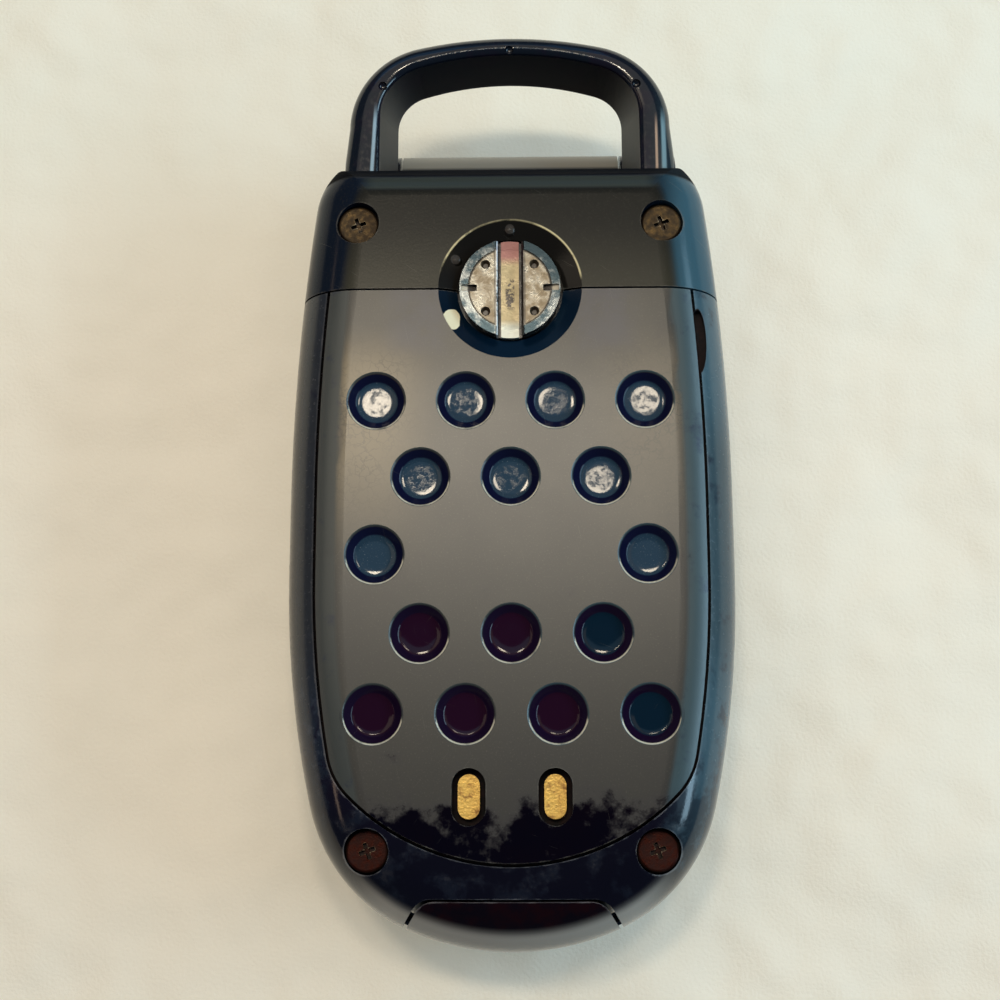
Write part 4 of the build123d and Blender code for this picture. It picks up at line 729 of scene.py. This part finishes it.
# painted reflection: the shoulders turn teal at the right
shoulder_and_teal_sheen = tint(tree, rise(tree, x, -2, 2), (0.050, 0.056, 0.052), (0.046, 0.074, 0.082))
marks = patchy(tree, 2.6, 0.22, soft=0.12, seed=17)
shoulder_and_teal_sheen = tint(tree, marks, shoulder_and_teal_sheen, (0.016, 0.022, 0.048))
colour = tint(tree, either(tree, flat, dimple), shoulder_and_teal_sheen, satin)

# hands have polished it in dark patches, most of all at the bottom end
low_end = rise(tree, y, -33, -42)
amount = level(tree, low_end, 0.04, 0.70)
polished = patchy(tree, 4.4, amount, soft=0.07, seed=21)
amount = level(tree, low_end, 0.04, 0.80)
haze = patchy(tree, 4.4, amount, soft=0.2, seed=21)
plum = tint(tree, patchy(tree, 9, seed=5), (0.001, 0.0006, 0.004), (0.003, 0.0006, 0.003))
colour = tint(tree, times(tree, haze, 0.5), colour, (0.014, 0.01, 0.02))
colour = tint(tree, polished, colour, plum)
by_lock = patchy(tree, 3.2, 0.66, soft=0.2, seed=14)
by_lock = times(tree, by_lock, rise(tree, y, 11.5, 15), band(tree, side, 6.5, 8.5, 12, 15.5))
colour = tint(tree, times(tree, by_lock, 0.6), colour, (0.026, 0.027, 0.048))

# the dimples are dark; their floors are painted blue as a reflection of the cool light above,
# and painted darker in the lower rows, plum at the left, as a reflection of the dark
right_low = rise(tree, x, 7.5, 7.9)
low_rows = rise(tree, y, -14.6, -14.8)
lower_floor_tone_and_reflection = tint(tree, right_low, (0.017, 0.003, 0.013), (0.003, 0.013, 0.026))
floor_tone_and_reflection = tint(tree, low_rows, (0.018, 0.040, 0.066), lower_floor_tone_and_reflection)
colour = tint(tree, dimple, colour, tint(tree, low_rows, (0.005, 0.006, 0.026), (0.010, 0.004, 0.018)))
flecks = rise(tree, speckled(tree, 0.16, seed=6), 0.62, 0.76)
flecks = times(tree, flecks, rise(tree, y, -16, -12))
floor_tone_and_reflection = tint(tree, times(tree, flecks, 0.5), floor_tone_and_reflection, (0.22, 0.27, 0.31))
colour = tint(tree, floor, colour, floor_tone_and_reflection)
colour = tint(tree, dish, colour, (0.001, 0.008, 0.020))
# a painted highlight: a small bright cream glint lies in the dish
painted_cream_glint = oval(tree, x, y, (-6.7, 16.9), half=(1.0, 1.25))
painted_cream_glint = maths(tree, "ADD", painted_cream_glint, speckled(tree, 1.2, seed=4))
painted_cream_glint = times(tree, rise(tree, painted_cream_glint, 1.6, 1.45), dish)
colour = tint(tree, painted_cream_glint, colour, (0.88, 0.80, 0.55))

# each dimple's rim carries a painted pale highlight where it faces the hinge end
north = faces(tree, "Y")
rim = band(tree, sunk, 0.02, 0.05, 0.13, 0.2)
rim = times(tree, rim, in_grid, rise(tree, north, 0.06, 0.16))
rim = times(tree, rim, patchy(tree, 2.2, 0.75, soft=0.2, seed=23))
colour = tint(tree, rim, colour, (0.62, 0.58, 0.46))
colour = rub(tree, colour, (0.26, 0.24, 0.2), 0.5, width=0.3, amount=0.42, seed=11)
for angle, seed, length in ((0.35, 3, 5), (-0.9, 17, 3.5), (1.35, 29, 7)):
    colour = scratch(tree, colour, (0.3, 0.27, 0.22), 0.22, length, 0.05, angle=angle, amount=0.44, seed=seed)
coat(shader, Base_Color=colour)
# the satin has a lacquer over it, except where it is bare or polished
bare = either(tree, dimple, polished, dish)
lacquer = level(tree, flat, 0.6, level(tree, rise(tree, y, 4, 15), 0.9, 0.6))
coat(shader, Coat_Weight=times(tree, inverse(tree, bare), lacquer))
shader.inputs["Coat Roughness"].default_value = 0.33
rough = level(tree, flat, 0.24, level(tree, cloud, 0.30, 0.36))
rough = level(tree, polished, rough, 0.12)
rough = level(tree, dimple, rough, 0.11)
scored = patchy(tree, 0.8, 0.36, soft=0.12, seed=26)
scored = times(tree, scored, rise(tree, y, -6, -3), rise(tree, from_dimple, 2.0, 1.2))
rough = level(tree, floor, rough, level(tree, either(tree, flecks, scored), 0.06, 0.28))
coat(shader, Roughness=level(tree, dish, rough, 0.18))
# the grain is flat in the dimples, whose floors are shallow bowls
height = maths(tree, "SUBTRACT", grain, times(tree, cracks, 0.8))
height = times(tree, height, inverse(tree, dimple))
bowl = maths(tree, "DIVIDE", maths(tree, "MINIMUM", from_dimple, bowl_radius), bowl_radius)
bowl = times(tree, maths(tree, "SUBTRACT", maths(tree, "POWER", bowl, 6), 1), 6)
no_dimple = rise(tree, apart(tree, y, -10.3), 4, 3.9)
no_dimple = times(tree, no_dimple, rise(tree, side, 10.2, 10.1))
bowl = times(tree, bowl, in_rows, rise(tree, side, 17.9, 17.8), inverse(tree, no_dimple))
height = maths(tree, "ADD", height, maths(tree, "ADD", bowl, times(tree, scored, floor, 0.5)))
raise_grain(tree, shader, height, 0.007)
dress(cover_paint, "battery_cover")

# ---------------------------------------------------------------- coin lock
# A coin turns this die-cast disc to free the cover. It is plated, with a raised
# rim, four small pits and a deep slot, and its plating is worn bright.
lock_plate, tree, shader = finish("lock_plate", 0.3, metallic=1)
x, y, z = millimetres(tree)
side = maths(tree, "ABSOLUTE", x)
sunk = maths(tree, "SUBTRACT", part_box("lock_disc")[1].z * 1000, z)
reach = placed(tree, from_lock)
stain = patchy(tree, 1.5, 0.5, soft=0.15, seed=8)
plate = tint(tree, times(tree, stain, 0.8), (0.165, 0.162, 0.145), (0.125, 0.095, 0.058))
plate = scratch(tree, plate, (0.6, 0.56, 0.46), 0.5, 1.6, 0.05, angle=-0.85, amount=0.95, seed=2)
plate = scratch(tree, plate, (0.08, 0.06, 0.04), 0.6, 2.4, 0.05, angle=-0.7, amount=0.9, seed=7)
rim = rise(tree, reach, 4.75, 4.85)
facets = tint(tree, patchy(tree, 2.6, 0.5, soft=0.06, seed=5), (0.026, 0.042, 0.052), (0.15, 0.165, 0.17))
colour = tint(tree, rim, plate, facets)
# a dark groove lies inside the raised rim, and the four pits are brown
groove = band(tree, reach, 4.55, 4.68, 4.8, 4.86)
groove = times(tree, groove, rise(tree, side, 1.7, 1.8))
colour = tint(tree, groove, colour, (0.03, 0.028, 0.024))
pit = times(tree, rise(tree, sunk, 0.2, 0.32), rise(tree, side, 1.85, 1.9))
pit = times(tree, pit, rise(tree, reach, 5.3, 4.4))
colour = tint(tree, pit, colour, (0.055, 0.036, 0.020))

# a tick marks each side of the rim, pale at its outer end and painted dark as shade at its inner end
tick = times(tree, rise(tree, reach, 4.0, 4.1), rise(tree, sunk, 0.06, 0.12))
tick = times(tree, tick, rise(tree, apart(tree, y, lock_y), 0.45, 0.4))
tick_pale_and_shade = tint(tree, rise(tree, reach, 4.75, 5.0), (0.035, 0.024, 0.016), (0.62, 0.56, 0.44))
colour = tint(tree, tick, colour, tick_pale_and_shade)

# the slot's walls are painted dark as shade, mottled, with a painted glint, and a tan strip runs along its
# floor
in_slot = times(tree, rise(tree, side, 1.82, 1.76), rise(tree, sunk, 0.1, 0.2))
strip = times(tree, rise(tree, side, 1.08, 0.98), rise(tree, sunk, 0.8, 0.88))
tan = tint(tree, patchy(tree, 1.0, 0.5, soft=0.2, seed=4), (0.42, 0.33, 0.17), (0.3, 0.23, 0.11))
tan = tint(tree, rise(tree, y, 23.2, 24.6), tan, (0.28, 0.10, 0.085))
tan = tint(tree, rise(tree, y, 17.0, 15.8), tan, (0.42, 0.44, 0.38))
holes = times(tree, rise(tree, side, 0.6, 0.4), band(tree, y, 17.8, 18.6, 21.4, 22.2))
holes = times(tree, holes, patchy(tree, 0.55, 0.5, soft=0.04, seed=10))
tan = tint(tree, holes, tan, (0.03, 0.018, 0.01))
slot_shade_mottle = patchy(tree, 0.9, 0.72, soft=0.1, seed=18)
wall = tint(tree, slot_shade_mottle, (0.060, 0.045, 0.040), (0.010, 0.007, 0.008))
glint = band(tree, x, -1.64, -1.58, -1.44, -1.38)
ends = either(tree, rise(tree, y, 22.4, 22.8), rise(tree, y, 17.4, 17.0))
broken = patchy(tree, 0.8, 0.5, soft=0.06, seed=6)
glint = times(tree, glint, either(tree, ends, broken))
wall = tint(tree, glint, wall, (0.85, 0.88, 0.9))
colour = tint(tree, in_slot, colour, tint(tree, strip, wall, tan))
dirt = placed(tree, crevice_dirt, Reach=0.45, Amount=0.6)
coat(shader, Base_Color=tint(tree, dirt, colour, (0.014, 0.01, 0.007)))
dead = either(tree, times(tree, in_slot, 0.8), times(tree, dirt, 0.9), pit)
coat(
    shader,
    Metallic=times(tree, inverse(tree, either(tree, dead, tick)), 0.85),
    Roughness=level(tree, rim, level(tree, stain, 0.26, 0.42), 0.2),
)
grain = times(tree, speckled(tree, 0.25, seed=4), level(tree, rim, 1, 0.3))
raise_grain(tree, shader, grain, 0.022)
dress(lock_plate, "lock_disc", "lock_cam", edge=0.1)

# ---------------------------------------------------------------- port cover
# A soft plug shuts the charging port at the bottom end. It is moulded in rubber that
# was dyed nearly black, gone reddish and shiny with handling.
port_rubber, tree, shader = finish("port_rubber", 0.2, specular=0.2)
stains = patchy(tree, 2.5, 0.5, soft=0.15, seed=4)
colour = tint(tree, stains, (0.003, 0.001, 0.003), (0.009, 0.001, 0.002))
# painted reflection: a pale band on the lower roll stands for the pale cloth mirrored in it
rim = band(tree, faces(tree), 0, 0.15, 0.66, 0.84)
colour = tint(tree, times(tree, rim, 0.95), colour, (0.32, 0.305, 0.275))
colour = rub(tree, colour, (0.24, 0.22, 0.22), 0.6, width=0.3, amount=0.45, seed=2)
coat(shader, Base_Color=colour, Roughness=level(tree, stains, 0.15, 0.1))
fine_grain(tree, shader, 0.3, 0.004, seed=9)
dress(port_rubber, "charge_port_cover")

# ---------------------------------------------------------------- seals, bumpers, side keys
# The gasket, the battery seal, the bumpers and the two side keys are moulded in
# silicone rubber. It is matt black, with lint on the seals and grease on the keys.
rubber, tree, shader = finish("rubber", 0.55, specular=0.35)
stains = patchy(tree, 2.2, 0.45, soft=0.2, seed=9)
colour = tint(tree, stains, (0.011, 0.011, 0.012), (0.020, 0.019, 0.019))
colour = scratch(tree, colour, (0.3, 0.3, 0.28), 0.25, 1.4, 0.05, angle=0.9, amount=0.8, seed=6)
colour = rub(tree, colour, (0.09, 0.09, 0.09), 0.4, width=0.25, amount=0.3, seed=7)
coat(shader, Base_Color=colour, Roughness=level(tree, stains, 0.6, 0.4))
fine_grain(tree, shader, 0.15, 0.01, seed=5)
dress(rubber, "case_gasket", "battery_seal", "lid_bumpers", "volume_rocker", "camera_key")

# ---------------------------------------------------------------- keypad
# Nineteen keys are moulded in smoke-grey polycarbonate on a rubber mat. Their tops
# are lightly crowned by wear, and each one tilts or sinks on its own dome.
key_smoke, tree, shader = finish("key_smoke", 0.3)
thumbed = patchy(tree, 3.4, seed=3)
colour = tint(tree, thumbed, (0.030, 0.034, 0.042), (0.046, 0.050, 0.058))
colour = rub(tree, colour, (0.16, 0.17, 0.19), 0.4, width=0.25, amount=0.4, seed=6)
coat(shader, Base_Color=colour, Roughness=level(tree, thumbed, 0.36, 0.2))
fine_grain(tree, shader, 0.25, 0.006, seed=4)
key_nodes = sorted(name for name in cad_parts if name.startswith("key_"))
dress(key_smoke, *key_nodes, edge=0.25)
half_ink = 0.00002
grip_middle = 0.0028


def print_ink(name, bright, faded):
    """A printing ink, worn thin in patches."""
    ink, tree, shader = finish(name, 0.4)
    thin = patchy(tree, 0.6, 0.35, soft=0.15, seed=3)
    coat(shader, Base_Color=tint(tree, thin, bright, faded))
    fine_grain(tree, shader, 0.1, 0.004, seed=2)
    return ink


def lay_print(name, mesh, key, ink):
    """Puts a printed mark on a key: the mesh is drawn round the middle of the key, in metres."""
    low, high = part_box(key)
    mesh.transform(Matrix.Rotation(math.pi, 4, "Y"))
    mesh.transform(Matrix.Translation(((low.x + high.x) / 2, (low.y + high.y) / 2, low.z)))
    mesh.materials.clear()
    mesh.materials.append(ink)
    mark = bpy.data.objects.new(name, mesh)
    scene.collection.objects.link(mark)
    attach(mark, key + "_body")


def drawn_text(letters, size):
    """The mesh of a short text, raised a hair."""
    curve = bpy.data.curves.new("print", "FONT")
    curve.body = letters
    curve.size = size
    curve.align_x = "CENTER"
    curve.align_y = "CENTER"
    curve.extrude = half_ink
    holder = bpy.data.objects.new("print", curve)
    mesh = bpy.data.meshes.new_from_object(holder)
    bpy.data.objects.remove(holder)
    return mesh


def drawn_shape(outlines):
    """The mesh of flat shapes, each a list of points in metres, raised a hair."""
    shape = bmesh.new()
    for outline in outlines:
        corners = [shape.verts.new((px, py, -half_ink)) for px, py in outline]
        face = shape.faces.new(corners)
        top = bmesh.ops.extrude_face_region(shape, geom=[face])
        raised = [item for item in top["geom"] if isinstance(item, bmesh.types.BMVert)]
        bmesh.ops.translate(shape, verts=raised, vec=(0, 0, 2 * half_ink))
    bmesh.ops.recalc_face_normals(shape, faces=shape.faces)
    mesh = bpy.data.meshes.new("print")
    shape.to_mesh(mesh)
    shape.free()
    return mesh


letter_height = 0.0046
white_ink = print_ink("white_ink", (0.75, 0.76, 0.74), (0.36, 0.37, 0.38))
for key in key_nodes:
    letter = {"star": "*", "pound": "#"}.get(key[4:], key[4:])
    if len(letter) == 1:
        lay_print("print_" + key, drawn_text(letter, letter_height), key, white_ink)


def grip(radius, bow):
    """Points along one side of a handset's curved grip, turned up or down by bow, in metres."""
    steps = [math.radians(40 + 100 * index / 12) for index in range(13)]
    return [(radius * math.cos(turn), bow * (radius * math.sin(turn) - grip_middle)) for turn in steps]


# the call keys carry a raised and a lowered handset, and the clear and soft keys a plain bar
for key, ink_name, bright, faded, bow in (
    ("key_send", "green_ink", (0.04, 0.42, 0.10), (0.03, 0.18, 0.06), 1),
    ("key_end", "red_ink", (0.55, 0.03, 0.02), (0.22, 0.02, 0.02), -1),
):
    handset = [grip(0.0034, bow) + grip(0.0026, bow)[::-1]]
    corners = (0.0017, -0.0015), (0.0029, -0.0008), (0.0032, -0.0014), (0.002, -0.0021)
    for sign in (-1, 1):
        handset.append([(sign * px, bow * py) for px, py in corners])
    lay_print("print_" + key, drawn_shape(handset), key, print_ink(ink_name, bright, faded))
bar = [(-0.0018, -0.0003), (0.0018, -0.0003), (0.0018, 0.0003), (-0.0018, 0.0003)]
for key in ("key_clear", "key_soft_left", "key_soft_right"):
    lay_print("print_" + key, drawn_shape([bar]), key, white_ink)
tip = (0.0068, 0), (0.0058, 0.0008), (0.0058, -0.0008)
arrows = []
for quarter in range(4):
    cosine = math.cos(math.radians(90 * quarter))
    sine = math.sin(math.radians(90 * quarter))
    arrows.append([(px * cosine - py * sine, px * sine + py * cosine) for px, py in tip])
lay_print("print_key_nav_ring", drawn_shape(arrows), "key_nav_ring", white_ink)

# ---------------------------------------------------------------- hinge cartridge
# A sprung steel cartridge turns in one knuckle and snaps the lid open or shut. A
# plain bush carries the other, with the lid's flat cable rolled inside the barrel.
hinge_steel, tree, shader = finish("hinge_steel", 0.32, metallic=1)
turned = maths(tree, "SINE", times(tree, millimetres(tree)[0], 60))
grease = patchy(tree, 2, 0.4, soft=0.2, seed=5)
colour = tint(tree, grease, (0.52, 0.52, 0.50), (0.22, 0.19, 0.13))
coat(shader, Base_Color=colour, Roughness=level(tree, grease, 0.34, 0.18))
raise_grain(tree, shader, turned, 0.006)
dress(hinge_steel, "hinge_cartridge", "hinge_bush")

amber_film, tree, shader = finish("amber_film", 0.3)
lines = maths(tree, "SINE", times(tree, millimetres(tree)[1], 14))
copper = rise(tree, lines, 0.1, 0.4)
colour = tint(tree, copper, (0.36, 0.15, 0.02), (0.55, 0.26, 0.06))
coat(shader, Base_Color=colour, Roughness=level(tree, copper, 0.26, 0.36))
raise_grain(tree, shader, copper, 0.02)
dress(amber_film, "hinge_flex", edge=0.05)

# ---------------------------------------------------------------- lid shells
# The lid is two ABS shells screwed together: a deep inner one that carries the hinge
# barrel, and an outer one with the small display. The paint is worn at the rim.
lid_paint, tree, shader = finish("lid_paint", 0.3)
y = millimetres(tree)[1]
stains = patchy(tree, 3.4, 0.4, soft=0.15, seed=19)
barrel = rise(tree, y, 37, 38)
colour = tint(tree, stains, (0.010, 0.014, 0.026), (0.018, 0.015, 0.030))
# painted light and shade: the barrel is painted near black under the upper case, and pale beige beyond as a
# reflection of the cloth
barrel_light_and_shade = tint(tree, rise(tree, y, 39.2, 39.8), (0.002, 0.003, 0.005), (0.21, 0.20, 0.17))
colour = tint(tree, barrel, colour, barrel_light_and_shade)
colour = rub(tree, colour, (0.2, 0.2, 0.21), 0.55, width=0.35, amount=0.5, seed=16)
for angle, seed in ((0.2, 5), (-1.1, 13)):
    colour = scratch(tree, colour, (0.25, 0.25, 0.26), 0.35, 7, 0.07, angle=angle, amount=0.55, seed=seed)
coat(shader, Base_Color=colour)
dull = speckled(tree, 0.6, seed=16)
rough = level(tree, rise(tree, dull, 0.4, 0.7), 0.2, 0.34)
coat(shader, Roughness=level(tree, barrel, rough, 0.36))
fine_grain(tree, shader, 0.3, 0.006, seed=12)
dress(lid_paint, "lid_outer_shell", "lid_inner_shell")

# ---------------------------------------------------------------- displays and lenses
# Each display is a glass cell in a tin frame under a clear window that is printed
# black round its edge. Both are off, so they show as dark grey glass.
cell_glass, tree, shader = finish("cell_glass", 0.16)
tin_side = rise(tree, maths(tree, "ABSOLUTE", faces(tree)), 0.6, 0.5)
cloud = patchy(tree, 10, seed=4)
colour = tint(tree, cloud, (0.030, 0.035, 0.036), (0.042, 0.048, 0.046))
coat(
    shader,
    Base_Color=tint(tree, tin_side, colour, (0.5, 0.5, 0.48)),
    Metallic=tin_side,
    Roughness=level(tree, tin_side, 0.14, 0.4),
)
fine_grain(tree, shader, 1.5, 0.002, seed=7)
dress(cell_glass, "main_display_panel", "sub_display_panel", edge=0.1)

window_glass, tree, shader = finish("window_glass", 0.06)
prints = patchy(tree, 6, 0.42, soft=0.25, seed=6)
colour = tint(tree, prints, (0.006, 0.007, 0.008), (0.012, 0.013, 0.015))
colour = scratch(tree, colour, (0.3, 0.3, 0.3), 0.4, 5, 0.05, angle=0.5, amount=0.5, seed=8)
coat(shader, Base_Color=colour, Roughness=level(tree, prints, 0.05, 0.16))
fine_grain(tree, shader, 2.5, 0.002, seed=7)
dress(window_glass, "main_display_lens", "sub_display_lens", edge=0.12)

flash_lens, tree, shader = finish("flash_lens", 0.12)
x, y, z = millimetres(tree)
low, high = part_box("flash_lens")
middle = (low.x + high.x) * 500, (low.y + high.y) * 500
radius = maths(tree, "SQRT", oval(tree, x, y, middle))
steps = maths(tree, "FRACT", times(tree, radius, 4))
coat(
    shader,
    Base_Color=tint(tree, steps, (0.62, 0.6, 0.42), (0.74, 0.73, 0.6)),
    Roughness=level(tree, steps, 0.1, 0.2),
)
raise_grain(tree, shader, steps, 0.05)
dress(flash_lens, "flash_lens", edge=0.08)

# ---------------------------------------------------------------- camera
# The camera is a black barrel with a small glass eye, set in the outer shell. Its
# front steps inward in rings to keep stray light off the glass.
camera_black, tree, shader = finish("camera_black", 0.45)
x, y, z = millimetres(tree)
low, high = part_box("camera_module")
middle = (low.x + high.x) * 500, (low.y + high.y) * 500
radius = maths(tree, "SQRT", oval(tree, x, y, middle))
eye = rise(tree, radius, 1.15, 1.05)
baffle = maths(tree, "FRACT", times(tree, radius, 2.5))
colour = tint(tree, baffle, (0.008, 0.008, 0.009), (0.022, 0.022, 0.024))
coat(
    shader,
    Base_Color=tint(tree, eye, colour, (0.01, 0.006, 0.022)),
    Roughness=level(tree, eye, 0.5, 0.04),
)
raise_grain(tree, shader, times(tree, baffle, inverse(tree, eye)), 0.06)
dress(camera_black, "camera_module", edge=0.1)

# ---------------------------------------------------------------- display ring
# A turned aluminium ring frames the small display. It is spun with fine grooves and
# nicked along its outer edge, and four small screws beside it close the lid.
ring_alloy, tree, shader = finish("ring_alloy", 0.3, metallic=1)
x, y, z = millimetres(tree)
low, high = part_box("sub_display_ring")
radius = maths(tree, "SQRT", oval(tree, x, y, (0, (low.y + high.y) * 500)))
spun = maths(tree, "SINE", times(tree, radius, 45))
stain = patchy(tree, 3, 0.4, soft=0.2, seed=6)
colour = tint(tree, stain, (0.52, 0.52, 0.53), (0.38, 0.38, 0.39))
colour = rub(tree, colour, (0.72, 0.72, 0.72), 1, width=0.25, amount=0.45, seed=9)
coat(shader, Base_Color=colour, Roughness=level(tree, stain, 0.26, 0.38))
raise_grain(tree, shader, spun, 0.006)
dress(ring_alloy, "sub_display_ring", edge=0.15)

lid_screw_metal, tree, shader = finish("lid_screw_metal", 0.35, metallic=1)
dirt = placed(tree, crevice_dirt, Reach=0.4, Amount=0.6)
stain = patchy(tree, 0.6, 0.4, soft=0.1, seed=7)
colour = tint(tree, stain, (0.30, 0.29, 0.28), (0.16, 0.14, 0.12))
coat(
    shader,
    Base_Color=tint(tree, dirt, colour, (0.015, 0.012, 0.01)),
    Roughness=level(tree, stain, 0.3, 0.5),
)
fine_grain(tree, shader, 0.15, 0.01, seed=8)
dress(lid_screw_metal, "lid_screws", edge=0.06)
